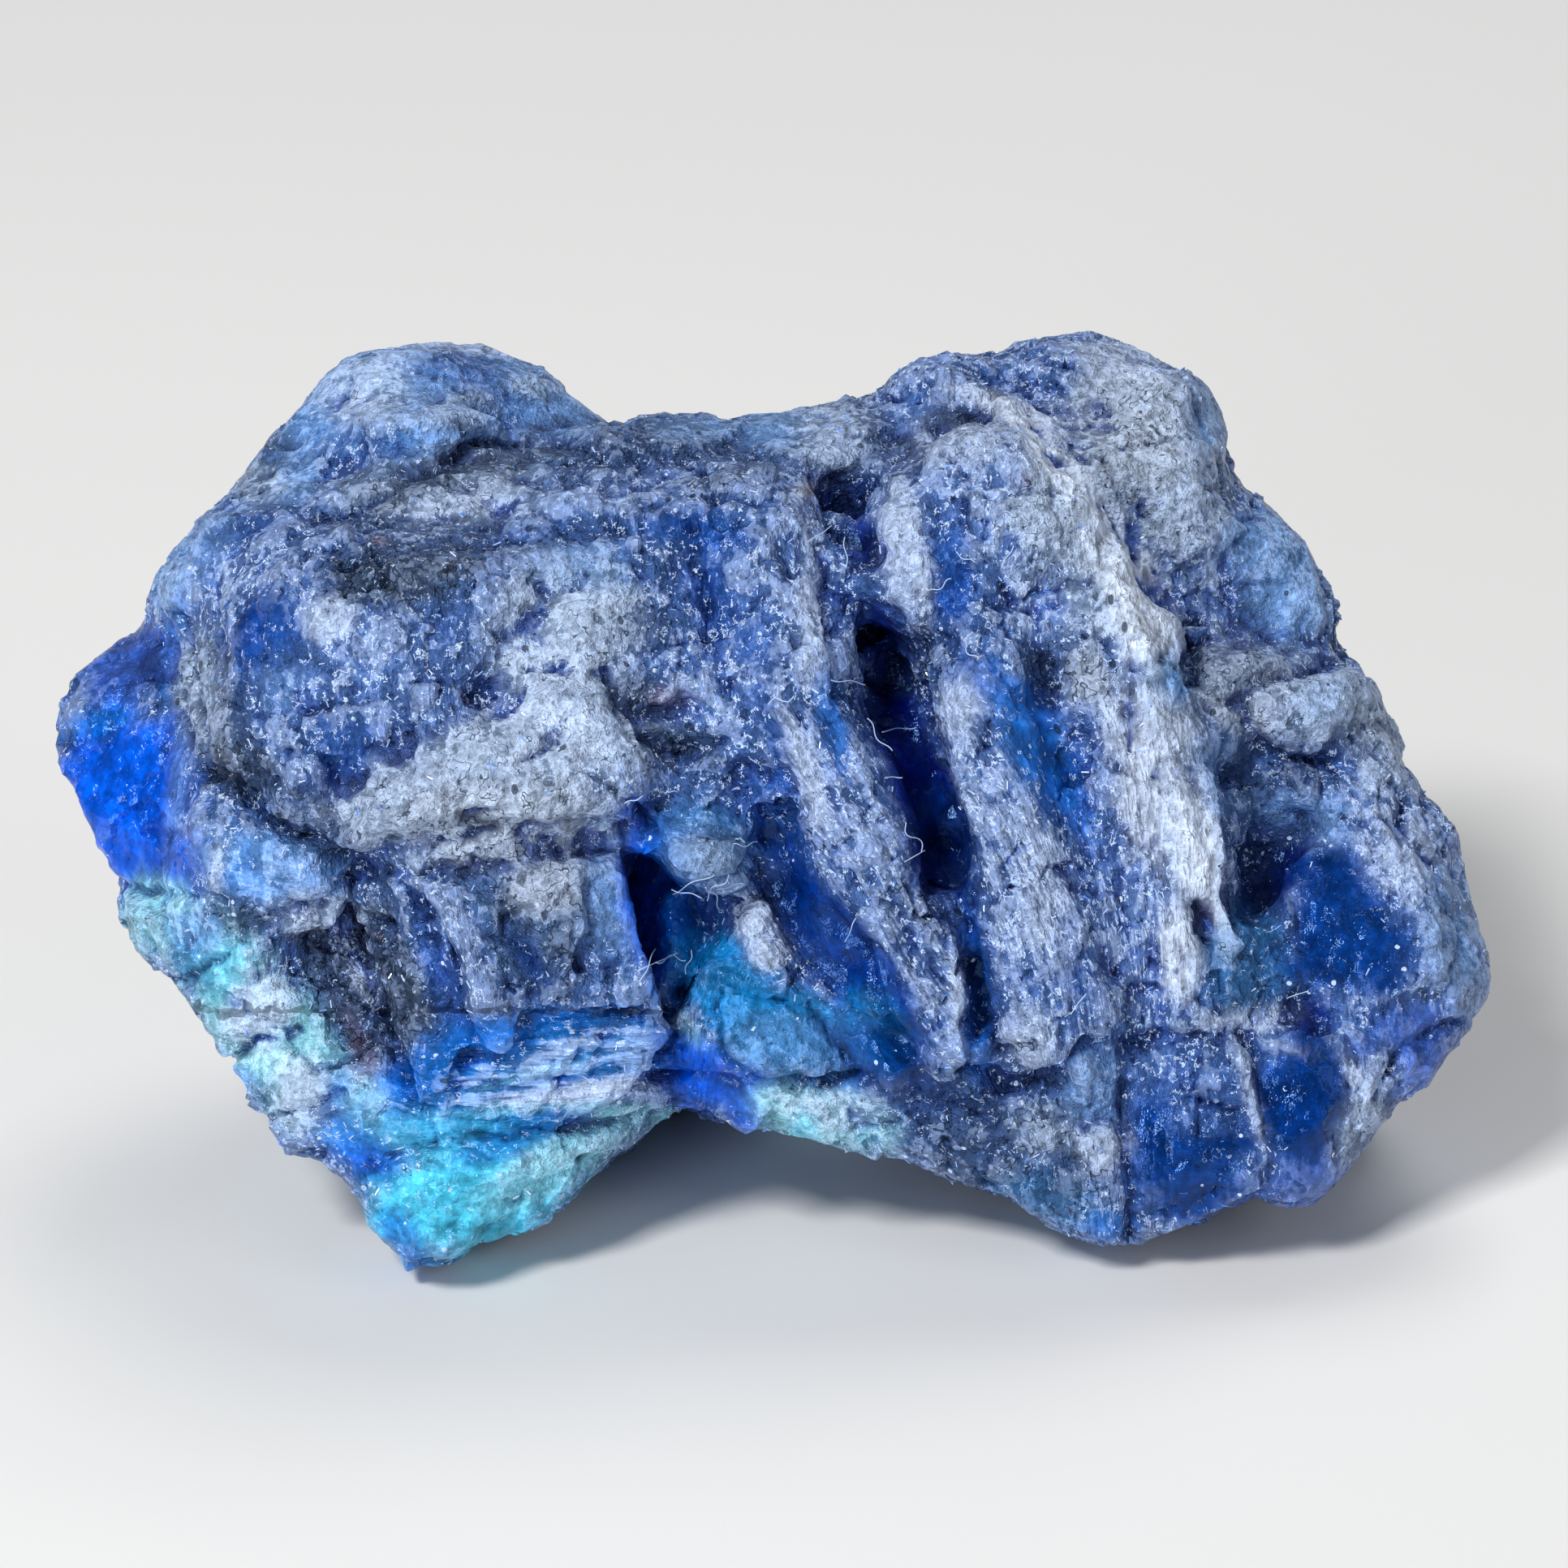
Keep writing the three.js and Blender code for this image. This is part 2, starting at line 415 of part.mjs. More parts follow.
// Slides the skin's points along the stone until the triangles are about even, and lays them on the field
function evenOut(skin) {
  const position = skin.getAttribute('position');
  const index = skin.getIndex();
  const points = [];
  for (let i = 0; i < position.count; i += 1) {
    points.push(new THREE.Vector3().fromBufferAttribute(position, i));
  }
  const neighbours = points.map(() => new Set());
  for (let i = 0; i < index.count; i += 3) {
    for (let side = 0; side < 3; side += 1) {
      const a = index.getX(i + side);
      const b = index.getX(i + (side + 1) % 3);
      neighbours[a].add(b);
      neighbours[b].add(a);
    }
  }
  const rings = neighbours.map((set) => [...set]);
  const normals = points.map(() => new THREE.Vector3());
  const probe = new THREE.Vector3();
  const gradient = new THREE.Vector3();
  const pull = new THREE.Vector3();

  function settle(i) {
    const point = points[i];
    const here = stoneDistance(point);
    gradient.set(
      stoneDistance(probe.set(point.x + PROBE, point.y, point.z)) - here,
      stoneDistance(probe.set(point.x, point.y + PROBE, point.z)) - here,
      stoneDistance(probe.set(point.x, point.y, point.z + PROBE)) - here,
    ).divideScalar(PROBE);
    const steep = Math.max(gradient.lengthSq(), LEAST_STEEPNESS);
    point.addScaledVector(gradient, -THREE.MathUtils.clamp(here / steep, -LONGEST_STEP, LONGEST_STEP));
    normals[i].copy(gradient).normalize();
  }

  for (let i = 0; i < points.length; i += 1) settle(i);
  for (let round = 0; round < SKIN_ROUNDS; round += 1) {
    const moved = points.map((point, i) => {
      pull.set(0, 0, 0);
      for (const j of rings[i]) pull.add(points[j]);
      pull.divideScalar(Math.max(rings[i].length, 1)).sub(point);
      pull.addScaledVector(normals[i], -pull.dot(normals[i]) * SLIDE_FLATNESS);
      return point.clone().addScaledVector(pull, SLIDE);
    });
    moved.forEach((point, i) => points[i].copy(point));
    for (let i = 0; i < points.length; i += 1) settle(i);
  }
  points.forEach((point, i) => position.setXYZ(i, point.x, point.y, point.z));
}

// The face frame as it really is: what is nearer the viewer is a little smaller than it looks
function trueSize(geometry) {
  const position = geometry.getAttribute('position');
  for (let i = 0; i < position.count; i += 1) {
    const scale = 1 - position.getZ(i) / VIEW_DISTANCE;
    position.setXY(i, position.getX(i) * scale, position.getY(i) * scale);
  }
  return geometry;
}

const wasm = await Module();
wasm.setup();

function toSolid(geometry) {
  const bare = geometry.clone();
  bare.deleteAttribute('normal');
  bare.deleteAttribute('uv');
  const merged = BufferGeometryUtils.mergeVertices(bare, WELD);
  return new wasm.Manifold(new wasm.Mesh({
    numProp: 3,
    vertProperties: new Float32Array(merged.getAttribute('position').array),
    triVerts: new Uint32Array(merged.getIndex().array),
  }));
}

function crystalGeometry(corners) {
  return new ConvexGeometry(corners.map((corner) => new THREE.Vector3(...corner)));
}

let stone = toSolid(trueSize(drawSkin()));
for (const corners of Object.values(CRYSTALS)) {
  stone = stone.add(toSolid(trueSize(crystalGeometry(corners))));
}

// Leaned back into the resting position: u, v, w become +X, +Y, +Z with the floor at FLOOR_LEVEL
const lean = THREE.MathUtils.degToRad(LEAN);
const leanMatrix = new THREE.Matrix4().set(
  1, 0, 0, 0,
  0, Math.sin(lean), -Math.cos(lean), 0,
  0, Math.cos(lean), Math.sin(lean), 0,
  0, 0, 0, 1,
);

function toGeometry(solid) {
  const mesh = solid.getMesh();
  const geometry = new THREE.BufferGeometry();
  geometry.setAttribute('position', new THREE.BufferAttribute(new Float32Array(mesh.vertProperties), 3));
  geometry.setIndex(new THREE.BufferAttribute(new Uint32Array(mesh.triVerts), 1));
  return geometry;
}

const leaned = toGeometry(stone).applyMatrix4(leanMatrix);
const floorCut = new THREE.BoxGeometry(FLOOR_CUT_WIDTH, FLOOR_CUT_WIDTH, FLOOR_CUT_HEIGHT);
floorCut.translate(0, 0, FLOOR_LEVEL - FLOOR_CUT_HEIGHT / 2);
const rested = largestPiece(toGeometry(toSolid(leaned).subtract(toSolid(floorCut))));
rested.computeBoundingBox();
const box = rested.boundingBox;
rested.translate(-(box.min.x + box.max.x) / 2, -(box.min.y + box.max.y) / 2, -box.min.z);

const tanzanite = new THREE.MeshStandardMaterial({
  name: 'tanzanite_rough',
  color: 0x6c80b4,
  roughness: 0.42,
  metalness: 0,
  flatShading: true,
});

const crystal = new THREE.Mesh(rested, tanzanite);
crystal.name = 'tanzanite_crystal';

const group = new THREE.Group();
group.add(crystal);

export default group;
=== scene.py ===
import math

import bpy
import numpy as np
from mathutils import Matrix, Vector


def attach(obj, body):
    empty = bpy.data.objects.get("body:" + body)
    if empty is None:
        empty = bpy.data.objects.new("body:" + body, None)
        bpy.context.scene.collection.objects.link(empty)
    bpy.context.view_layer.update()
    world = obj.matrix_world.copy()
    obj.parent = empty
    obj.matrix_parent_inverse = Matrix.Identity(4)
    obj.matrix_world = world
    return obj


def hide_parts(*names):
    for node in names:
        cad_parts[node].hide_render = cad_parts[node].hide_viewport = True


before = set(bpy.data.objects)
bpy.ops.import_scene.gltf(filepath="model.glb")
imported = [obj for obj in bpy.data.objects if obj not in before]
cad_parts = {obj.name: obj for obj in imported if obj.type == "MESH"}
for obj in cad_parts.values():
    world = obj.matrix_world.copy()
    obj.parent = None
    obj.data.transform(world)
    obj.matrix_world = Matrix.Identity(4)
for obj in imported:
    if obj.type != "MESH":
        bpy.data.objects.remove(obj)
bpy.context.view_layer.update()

bl_info = {
    "name": "Rough tanzanite crystal",
    "version": (1, 0, 0),
    "blender": (4, 5, 0),
    "location": "View3D > Sidebar > Tanzanite",
    "description": "Dresses the solid of a rough tanzanite cluster with fine relief, grains and a zoisite finish",
    "category": "Object",
}

NODE = "tanzanite_crystal"
BODY = "root"
MM = 0.001

# The stone's fine mesh: the weld of the solid's points, the angle that stays sharp, and the rounds of evening that
# leave its larger forms and that find the middle of small and wide hollows.
WELD_MM = 0.002
SHARP_DEGREES = 21.0
BROAD_ROUNDS = 12
SMALL_HOLLOW_ROUNDS = 8
WIDE_HOLLOW_ROUNDS = 40

# Zoisite: how strongly it bends light, how strongly a metre of it absorbs light, the sizes in metres of its milky
# clouds, breaks, needles, grains, flakes and graphite threads, how high its fine relief is, and its splinters.
ZOISITE_IOR = 1.69
ABSORPTION = 120.0
MILK_SIZE = 1.2 * MM
BREAK_SIZE = 0.28 * MM
NEEDLE_SIZE = 0.24 * MM
GRAIN_SIZE = 0.20 * MM
FLAKE_SIZE = 0.45 * MM
THREAD_SIZE = 0.9 * MM
RELIEF_HEIGHT = 0.24 * MM
SPLINTER_CLOUD_SIZE = 1.5 * MM
SPLINTER_SEED = 7

# Lint: steps of each thread, how far around it the stone is felt for in pixels, and how high it lies over it.
LINT_STEPS = 14
LINT_REACH = 12
LINT_LIFT_MM = 0.05

# The stage, in metres: half the floor's side, then the lights' names, places, sides, watts and colours.
FLOOR_HALF = 2.0
LIGHTS = [
    ("key_softbox", (-0.26, -0.34, 0.48), 0.14, 3.0, (1.0, 1.0, 1.0)),
    ("fill_softbox", (0.45, -0.30, 0.30), 0.30, 0.45, (0.95, 0.97, 1.0)),
    ("low_softbox", (-0.26, -0.44, 0.06), 0.16, 1.10, (0.92, 0.97, 1.0)),
    ("top_softbox", (0.10, 0.30, 0.55), 0.30, 1.3, (1.0, 1.0, 1.0)),
]
SKY_COLOUR = (0.82, 0.88, 1.0, 1.0)
SKY_STRENGTH = 0.14
LENS_MM = 135.0
SENSOR_MM = 36.0

# The photograph's frame: a square of 1932 pixels, seen from 23 degrees above the floor.
FRAME_SIDE = 1932
PIXEL_MM = 0.026
VIEW_LEAN = math.radians(23.0)
VIEW_DISTANCE_MM = 188.4
AIM_MM = np.array((0.5575, -1.3585, 13.1))
TOWARDS_CAMERA = np.array((0.0, -math.cos(VIEW_LEAN), math.sin(VIEW_LEAN)))
FACE_UP = np.array((0.0, math.sin(VIEW_LEAN), math.cos(VIEW_LEAN)))

# Where the growth streaks bend to the right and where the ledge at the lower left lies, and how far a finish fades
# at the rim of its oval and stays full inside, all in the photograph's pixels.
BEND_TOP = 860.0
LEDGE_TOP, LEDGE_RIGHT = 1245.0, 830.0
FADE, FULL = 18.0, 8.0

# Finishes of the stone's skin. Each has its colour, then from 0 to 1: how clear it is, how frosted, how much dark
# matter is in it, how hackly it broke, how striated it is, and how much it glitters: painted white glints, grains that
# turn the light and splinters.
FINISHES = {
    "violet": ("4a6cae", 0.00, 0.40, 0.15, 0.80, 0.55, 0.85),
    "slate": ("3a5280", 0.00, 0.26, 0.50, 0.80, 0.20, 0.50),
    "lavender": ("6a8acb", 0.00, 0.60, 0.12, 0.80, 0.75, 1.00),
    "frost": ("c2d4f4", 0.00, 1.00, 0.05, 0.50, 0.50, 0.80),
    "fibre": ("e8f1ff", 0.00, 0.98, 0.10, 0.40, 1.00, 0.50),
    "pale": ("a0b5d2", 0.00, 0.72, 0.30, 0.60, 0.20, 0.60),
    "smoke": ("b0bcce", 0.00, 0.72, 0.35, 0.70, 0.10, 0.45),
    "haze": ("7caae8", 0.15, 0.36, 0.05, 0.40, 0.10, 0.20),
    "royal": ("124eaa", 0.25, 0.14, 0.05, 0.60, 0.50, 0.40),
    "cobalt": ("0062f6", 0.25, 0.00, 0.05, 0.40, 0.50, 0.10),
    "navy": ("021878", 0.10, 0.00, 0.00, 0.30, 0.30, 0.03),
    "deep": ("003a90", 0.30, 0.00, 0.05, 0.25, 0.45, 0.08),
    "brown": ("37445c", 0.00, 0.20, 0.95, 1.00, 0.10, 0.50),
    # The ice and sky blues are partly the stone's pale blue and partly painted glow of light from below.
    "ice": ("a0ecff", 0.15, 0.42, 0.05, 0.60, 0.30, 0.50),
    "sky": ("52daff", 0.15, 0.10, 0.05, 0.50, 0.60, 0.30),
    "azure": ("0a80f4", 0.30, 0.06, 0.05, 0.40, 0.60, 0.35),
    "teal": ("1494e0", 0.25, 0.10, 0.20, 0.50, 0.20, 0.15),
    "mist": ("3e68cc", 0.20, 0.20, 0.05, 0.40, 0.30, 0.20),
    "lilac": ("74b0ff", 0.15, 0.34, 0.05, 0.40, 0.40, 0.50),
    "flakes": ("1c90f4", 0.20, 0.84, 0.05, 0.70, 0.95, 0.70),
    "graphite": ("14161f", 0.00, 0.05, 1.00, 0.6, 0.0, 0.1),
    "rust": ("8a5236", 0.05, 0.20, 0.40, 0.6, 0.0, 0.3),
}

# Where each finish lies on the face that the camera sees: finish, middle, half sizes and turn in degrees of an
# oval in the photograph's pixels, and strength. Later ones lie over earlier ones.
ZONES = [
    # upper left lobe behind
    ("haze", 540, 520, 270, 130, 10, 1.0), ("lilac", 520, 520, 230, 100, 10, 1.0),
    ("pale", 460, 480, 75, 42, -10, 0.35), ("frost", 450, 470, 60, 30, -10, 0.35), ("smoke", 440, 505, 45, 20, 0, 0.4),
    ("royal", 575, 458, 62, 26, 25, 0.65), ("frost", 570, 428, 120, 9, 5, 0.5), ("violet", 430, 560, 60, 36, -35, 0.8),
    ("haze", 345, 585, 50, 40, -40, 0.9), ("slate", 320, 560, 40, 30, -50, 0.7), ("pale", 320, 600, 26, 22, 0, 0.6),
    ("pale", 560, 500, 40, 26, 0, 0.6), ("graphite", 570, 524, 22, 8, 0, 0.8), ("haze", 700, 500, 70, 30, 30, 0.8),
    ("pale", 655, 475, 30, 12, 0, 0.5),
    # granular top left
    ("pale", 550, 600, 150, 48, -12, 1.0), ("slate", 545, 600, 140, 44, -12, 0.5),
    ("brown", 490, 608, 80, 16, -25, 0.5), ("frost", 560, 630, 90, 16, -5, 0.45), ("brown", 610, 560, 50, 14, 20, 0.5),
    ("navy", 700, 548, 40, 9, 5, 0.8),
    # top middle ridges
    ("slate", 800, 570, 160, 60, 0, 1.0), ("lavender", 800, 600, 110, 24, -5, 0.6), ("haze", 860, 528, 50, 12, 0, 0.8),
    ("haze", 960, 530, 46, 26, 0, 0.9), ("slate", 955, 556, 26, 8, 0, 0.8), ("brown", 890, 590, 40, 10, -10, 0.5),
    ("pale", 1030, 540, 60, 50, 0, 0.6), ("smoke", 1000, 600, 26, 10, -20, 0.8), ("rust", 996, 604, 11, 7, 0, 0.8),
    # front left lobe
    ("violet", 470, 800, 280, 170, 0, 1.0), ("violet", 300, 680, 90, 50, -10, 0.8),
    ("haze", 235, 690, 60, 40, -50, 0.7), ("royal", 300, 650, 50, 16, -20, 0.35),
    ("lavender", 300, 700, 60, 22, -10, 0.5), ("lavender", 255, 735, 36, 16, 0, 0.8),
    ("haze", 205, 720, 16, 40, -10, 0.9), ("azure", 215, 800, 12, 60, 10, 0.9), ("slate", 440, 640, 60, 14, 10, 0.8),
    ("brown", 510, 702, 110, 42, -8, 1.0), ("graphite", 560, 735, 22, 13, -30, 0.5),
    ("slate", 600, 665, 130, 18, -4, 0.8), ("royal", 660, 655, 50, 10, -4, 0.4), ("royal", 330, 790, 46, 62, 15, 1.0),
    ("haze", 345, 840, 26, 30, 10, 0.35), ("navy", 300, 775, 16, 26, 20, 0.35), ("frost", 405, 765, 26, 22, 0, 0.7),
    ("lavender", 470, 840, 110, 60, 20, 0.2), ("violet", 620, 760, 70, 80, 10, 0.8),
    ("violet", 445, 900, 70, 50, 20, 0.6), ("royal", 430, 930, 56, 44, 30, 0.75), ("navy", 415, 965, 26, 12, 10, 0.35),
    # grey corner and the pale middle
    ("slate", 260, 870, 46, 110, -15, 0.9), ("pale", 245, 850, 30, 70, -10, 0.6), ("brown", 300, 950, 50, 40, 20, 0.9),
    ("graphite", 285, 960, 26, 12, 25, 0.5), ("slate", 370, 1010, 60, 40, 30, 0.9),
    ("pale", 700, 790, 100, 110, 25, 1.0), ("pale", 640, 940, 190, 75, -12, 1.0), ("frost", 662, 876, 50, 15, 8, 0.8),
    ("frost", 700, 930, 60, 40, 0, 0.35), ("smoke", 560, 1000, 150, 32, -3, 0.9), ("pale", 455, 1000, 50, 40, 0, 0.9),
    ("slate", 400, 1045, 40, 26, 20, 0.9), ("haze", 720, 700, 60, 30, 0, 0.5), ("slate", 780, 780, 50, 30, 0, 0.5),
    ("brown", 780, 850, 36, 26, 20, 0.6), ("rust", 832, 858, 26, 10, 5, 0.45), ("rust", 466, 666, 12, 5, 10, 0.8),
    ("frost", 690, 820, 60, 30, 0, 0.35), ("slate", 850, 930, 40, 30, 0, 0.6), ("brown", 840, 915, 40, 14, 10, 0.7),
    ("brown", 790, 1000, 26, 16, -40, 0.8),
    # lower block
    ("slate", 620, 1140, 190, 120, 0, 1.0), ("haze", 670, 1120, 120, 90, 0, 0.25),
    ("smoke", 640, 1040, 120, 28, -6, 0.8), ("brown", 480, 1190, 36, 90, -22, 0.75),
    ("brown", 500, 1250, 46, 90, -20, 0.75), ("graphite", 436, 1130, 12, 60, -22, 0.3),
    ("violet", 560, 1170, 40, 110, -25, 0.9), ("lavender", 548, 1120, 16, 50, -30, 0.5),
    ("royal", 548, 1215, 18, 80, -20, 0.6), ("navy", 548, 1215, 9, 70, -20, 0.35),
    ("brown", 670, 1130, 60, 70, 10, 0.65), ("smoke", 680, 1090, 50, 36, 0, 0.7),
    ("graphite", 695, 1180, 14, 20, 10, 0.45), ("royal", 650, 1180, 12, 36, -30, 0.6),
    ("haze", 755, 1130, 36, 100, -6, 0.8), ("violet", 745, 1200, 50, 40, 0, 0.7),
    ("brown", 640, 1265, 40, 16, -10, 0.7), ("graphite", 640, 1272, 26, 7, -15, 0.6),
    ("graphite", 790, 1225, 16, 8, -20, 0.5), ("graphite", 590, 1008, 18, 7, 0, 0.85),
    ("graphite", 640, 1012, 130, 5, -3, 0.35), ("graphite", 390, 1040, 60, 6, 28, 0.4),
    ("graphite", 600, 568, 90, 5, -22, 0.4), ("graphite", 465, 1155, 8, 15, -25, 0.95),
    ("rust", 465, 1152, 5, 9, -25, 0.3), ("graphite", 480, 1192, 8, 9, 0, 0.6), ("graphite", 498, 1232, 9, 9, 0, 0.6),
    ("graphite", 512, 1352, 14, 7, 20, 0.8),
    # left crystals: the vivid cobalt is partly the crystal's own blue and partly painted glow of light from below
    ("mist", 150, 820, 70, 50, -25, 1.0), ("graphite", 188, 818, 13, 22, 20, 0.6),
    ("cobalt", 150, 965, 90, 110, 0, 1.0), ("cobalt", 195, 1060, 60, 46, 0, 1.0), ("slate", 78, 905, 14, 22, 0, 0.8),
    ("haze", 215, 990, 10, 70, 5, 0.6), ("navy", 185, 1022, 20, 8, 0, 0.85), ("azure", 120, 890, 40, 16, -10, 0.7),
    ("lilac", 330, 1075, 90, 40, 18, 1.0), ("frost", 390, 1130, 44, 26, 10, 0.7), ("frost", 268, 1060, 8, 36, 10, 0.7),
    ("azure", 300, 1080, 16, 26, 0, 0.35),
    # lower left shelf: its ice, sky and azure are partly the stone's pale blue and partly painted glow of light from
    # below
    ("ice", 330, 1270, 170, 70, 52, 1.0), ("ice", 190, 1130, 46, 50, 30, 0.9), ("sky", 280, 1200, 50, 30, 40, 0.6),
    ("slate", 170, 1160, 18, 40, -20, 0.35), ("brown", 300, 1130, 34, 20, 10, 0.7),
    ("frost", 320, 1240, 34, 50, 30, 0.8), ("lilac", 240, 1150, 30, 22, 30, 0.7),
    ("azure", 300, 1330, 20, 12, 30, 0.5), ("graphite", 316, 1262, 16, 6, -30, 0.5),
    ("teal", 235, 1190, 26, 16, 50, 0.5), ("brown", 420, 1230, 22, 90, -27, 0.9),
    ("rust", 445, 1290, 12, 40, -25, 0.25), ("frost", 440, 1190, 12, 34, -25, 0.7),
    ("frost", 375, 1350, 36, 44, -20, 0.8), ("azure", 425, 1360, 20, 40, -20, 0.6),
    ("ice", 460, 1360, 30, 22, 30, 0.8),
    # layered ledge and keel: their ice, sky and azure are partly the stone's pale blue and partly painted glow of light
    # from below
    ("azure", 640, 1320, 190, 70, -14, 1.0), ("azure", 600, 1290, 90, 30, -16, 0.7),
    ("flakes", 680, 1325, 170, 52, -14, 1.0), ("frost", 690, 1292, 80, 5, -20, 0.8),
    ("ice", 640, 1328, 100, 5, -14, 0.8), ("frost", 720, 1345, 90, 12, -8, 0.9), ("ice", 640, 1366, 100, 6, -4, 0.8),
    ("ice", 780, 1372, 60, 10, 4, 0.9), ("azure", 590, 1384, 70, 6, -2, 0.7), ("sky", 560, 1400, 100, 26, 0, 0.6),
    ("azure", 450, 1425, 60, 22, 30, 0.75), ("cobalt", 452, 1432, 30, 12, 30, 0.5),
    ("navy", 460, 1440, 10, 24, 0, 0.8), ("graphite", 512, 1448, 30, 8, 5, 0.7), ("sky", 570, 1480, 170, 75, -20, 1.0),
    ("ice", 660, 1450, 70, 26, -25, 0.6), ("azure", 620, 1410, 60, 16, -20, 0.6),
    ("azure", 500, 1540, 22, 46, -30, 0.7), ("ice", 720, 1410, 60, 20, -20, 0.7),
    # cavity in the middle with its blob, grain and plateau
    # The azure over the cavity is partly its deep blue and partly painted light that lifts the cavity's shade.
    ("cobalt", 815, 1110, 46, 110, -12, 1.0), ("azure", 830, 1130, 34, 80, -15, 0.7),
    ("deep", 850, 1140, 40, 50, 0, 0.8), ("teal", 900, 1210, 90, 70, 30, 0.9), ("teal", 868, 1040, 70, 52, 20, 0.5),
    ("haze", 872, 1050, 60, 46, 20, 0.5), ("brown", 880, 1030, 34, 12, 20, 0.45), ("pale", 870, 1066, 40, 20, 20, 0.3),
    ("graphite", 805, 1000, 20, 8, -30, 0.6), ("frost", 928, 1132, 20, 24, 0, 1.0),
    ("frost", 946, 1172, 22, 22, 0, 1.0), ("teal", 960, 1270, 105, 60, 12, 1.0), ("haze", 980, 1285, 80, 36, 10, 0.45),
    # The ice and sky in these lower rows are partly pale blue stone and partly painted glow of light from below.
    ("graphite", 843, 1220, 7, 7, 0, 0.9), ("ice", 860, 1290, 12, 40, -30, 0.8),
    ("cobalt", 860, 1320, 60, 40, 40, 1.0), ("cobalt", 925, 1360, 26, 36, 0, 1.0),
    ("ice", 1010, 1380, 90, 34, 12, 1.0), ("frost", 1030, 1370, 50, 18, 10, 0.5), ("sky", 990, 1390, 14, 18, 0, 0.6),
    ("graphite", 940, 1332, 60, 5, 5, 0.5),
    # columns in the middle
    ("violet", 930, 750, 90, 130, 0, 1.0), ("royal", 865, 655, 60, 22, 12, 0.9), ("royal", 880, 720, 16, 60, -8, 0.7),
    ("lavender", 970, 690, 50, 60, 0, 0.55), ("frost", 1000, 740, 14, 90, 0, 0.5), ("royal", 930, 810, 22, 50, 0, 0.4),
    ("lavender", 900, 850, 60, 30, 0, 0.5), ("violet", 1050, 1050, 90, 230, -28, 1.0),
    ("lavender", 1070, 1050, 56, 200, -28, 0.45), ("lavender", 1000, 950, 50, 60, -20, 0.5),
    ("frost", 985, 940, 14, 66, -20, 0.7), ("royal", 960, 930, 14, 80, -12, 0.8),
    ("azure", 1025, 890, 14, 50, -10, 0.6), ("royal", 960, 1020, 26, 70, -20, 0.8),
    # The deep and navy along the column's left flank are partly its deep blue and partly painted shade of a slope that
    # faces away from the light.
    ("deep", 1045, 1185, 44, 165, -36, 1.0), ("navy", 1030, 1165, 36, 130, -36, 0.6),
    ("deep", 1040, 1180, 36, 140, -36, 0.6), ("teal", 1075, 1270, 30, 50, -36, 0.6),
    ("deep", 1085, 1305, 70, 34, 30, 0.8), ("lavender", 1150, 1200, 26, 90, -16, 0.7),
    ("frost", 1184, 1222, 11, 32, 0, 1.0),
    # right column
    ("violet", 1230, 900, 120, 380, -10, 0.9), ("lavender", 1230, 600, 110, 90, 0, 0.55),
    ("smoke", 1170, 540, 70, 26, -10, 0.5), ("graphite", 1186, 514, 32, 9, -5, 0.85),
    ("rust", 1270, 590, 16, 14, 0, 0.5), ("slate", 1100, 560, 50, 50, 0, 0.6),
    ("graphite", 1040, 620, 16, 36, -12, 0.6), ("navy", 1062, 665, 22, 34, -20, 0.8),
    ("frost", 1110, 660, 22, 60, 0, 0.7), ("royal", 1170, 710, 30, 70, -8, 0.9), ("navy", 1178, 740, 12, 40, -8, 0.3),
    ("frost", 1138, 720, 10, 60, -4, 0.8), ("lavender", 1290, 760, 60, 60, 0, 0.7),
    ("brown", 1310, 830, 56, 36, 10, 0.75), ("smoke", 1340, 830, 18, 30, 0, 0.6), ("slate", 1150, 800, 40, 40, 0, 0.7),
    ("royal", 1200, 850, 40, 50, -20, 0.7), ("azure", 1280, 925, 34, 105, -26, 0.9),
    ("lavender", 1210, 960, 40, 110, -16, 0.75), ("frost", 1180, 870, 22, 30, 0, 0.5),
    ("lavender", 1270, 1100, 80, 130, -14, 0.9), ("frost", 1290, 1110, 26, 80, -10, 0.5),
    ("brown", 1170, 1120, 70, 26, 12, 0.4), ("deep", 1203, 1190, 16, 110, -6, 0.9),
    ("azure", 1203, 1260, 14, 70, 0, 0.6), ("violet", 1290, 1250, 70, 80, 0, 0.9),
    ("royal", 1330, 1180, 30, 60, -10, 0.45), ("frost", 1270, 1280, 30, 34, 0, 0.5),
    ("graphite", 1280, 1335, 60, 9, -8, 0.7), ("graphite", 1265, 1290, 26, 8, 10, 0.35),
    # dark groove
    ("navy", 1130, 950, 38, 150, -18, 1.0), ("navy", 1088, 790, 26, 50, -14, 0.85),
    ("deep", 1170, 1040, 34, 60, -18, 0.75), ("navy", 1150, 1060, 30, 44, 0, 0.7),
    # pale ridge and the right back
    ("pale", 1380, 600, 160, 190, 20, 1.0), ("violet", 1270, 470, 70, 40, -20, 0.6),
    ("smoke", 1400, 520, 80, 80, 0, 0.8), ("frost", 1380, 440, 50, 20, 10, 0.35), ("haze", 1480, 520, 26, 40, 10, 0.8),
    ("smoke", 1420, 545, 50, 60, 0, 0.6), ("graphite", 1362, 570, 8, 12, -20, 0.7),
    ("haze", 1570, 700, 80, 100, 10, 1.0), ("pale", 1540, 790, 90, 14, 20, 0.5),
    ("lavender", 1470, 720, 70, 50, 0, 0.7), ("fibre", 1245, 505, 60, 12, 22, 0.8),
    ("fibre", 1310, 580, 16, 60, -40, 0.9), ("fibre", 1375, 695, 24, 80, -25, 0.95),
    ("fibre", 1415, 760, 36, 60, -15, 0.8), ("frost", 1360, 640, 34, 60, -10, 0.35),
    ("smoke", 1530, 850, 70, 55, 20, 0.8), ("slate", 1540, 830, 60, 36, 10, 0.5),
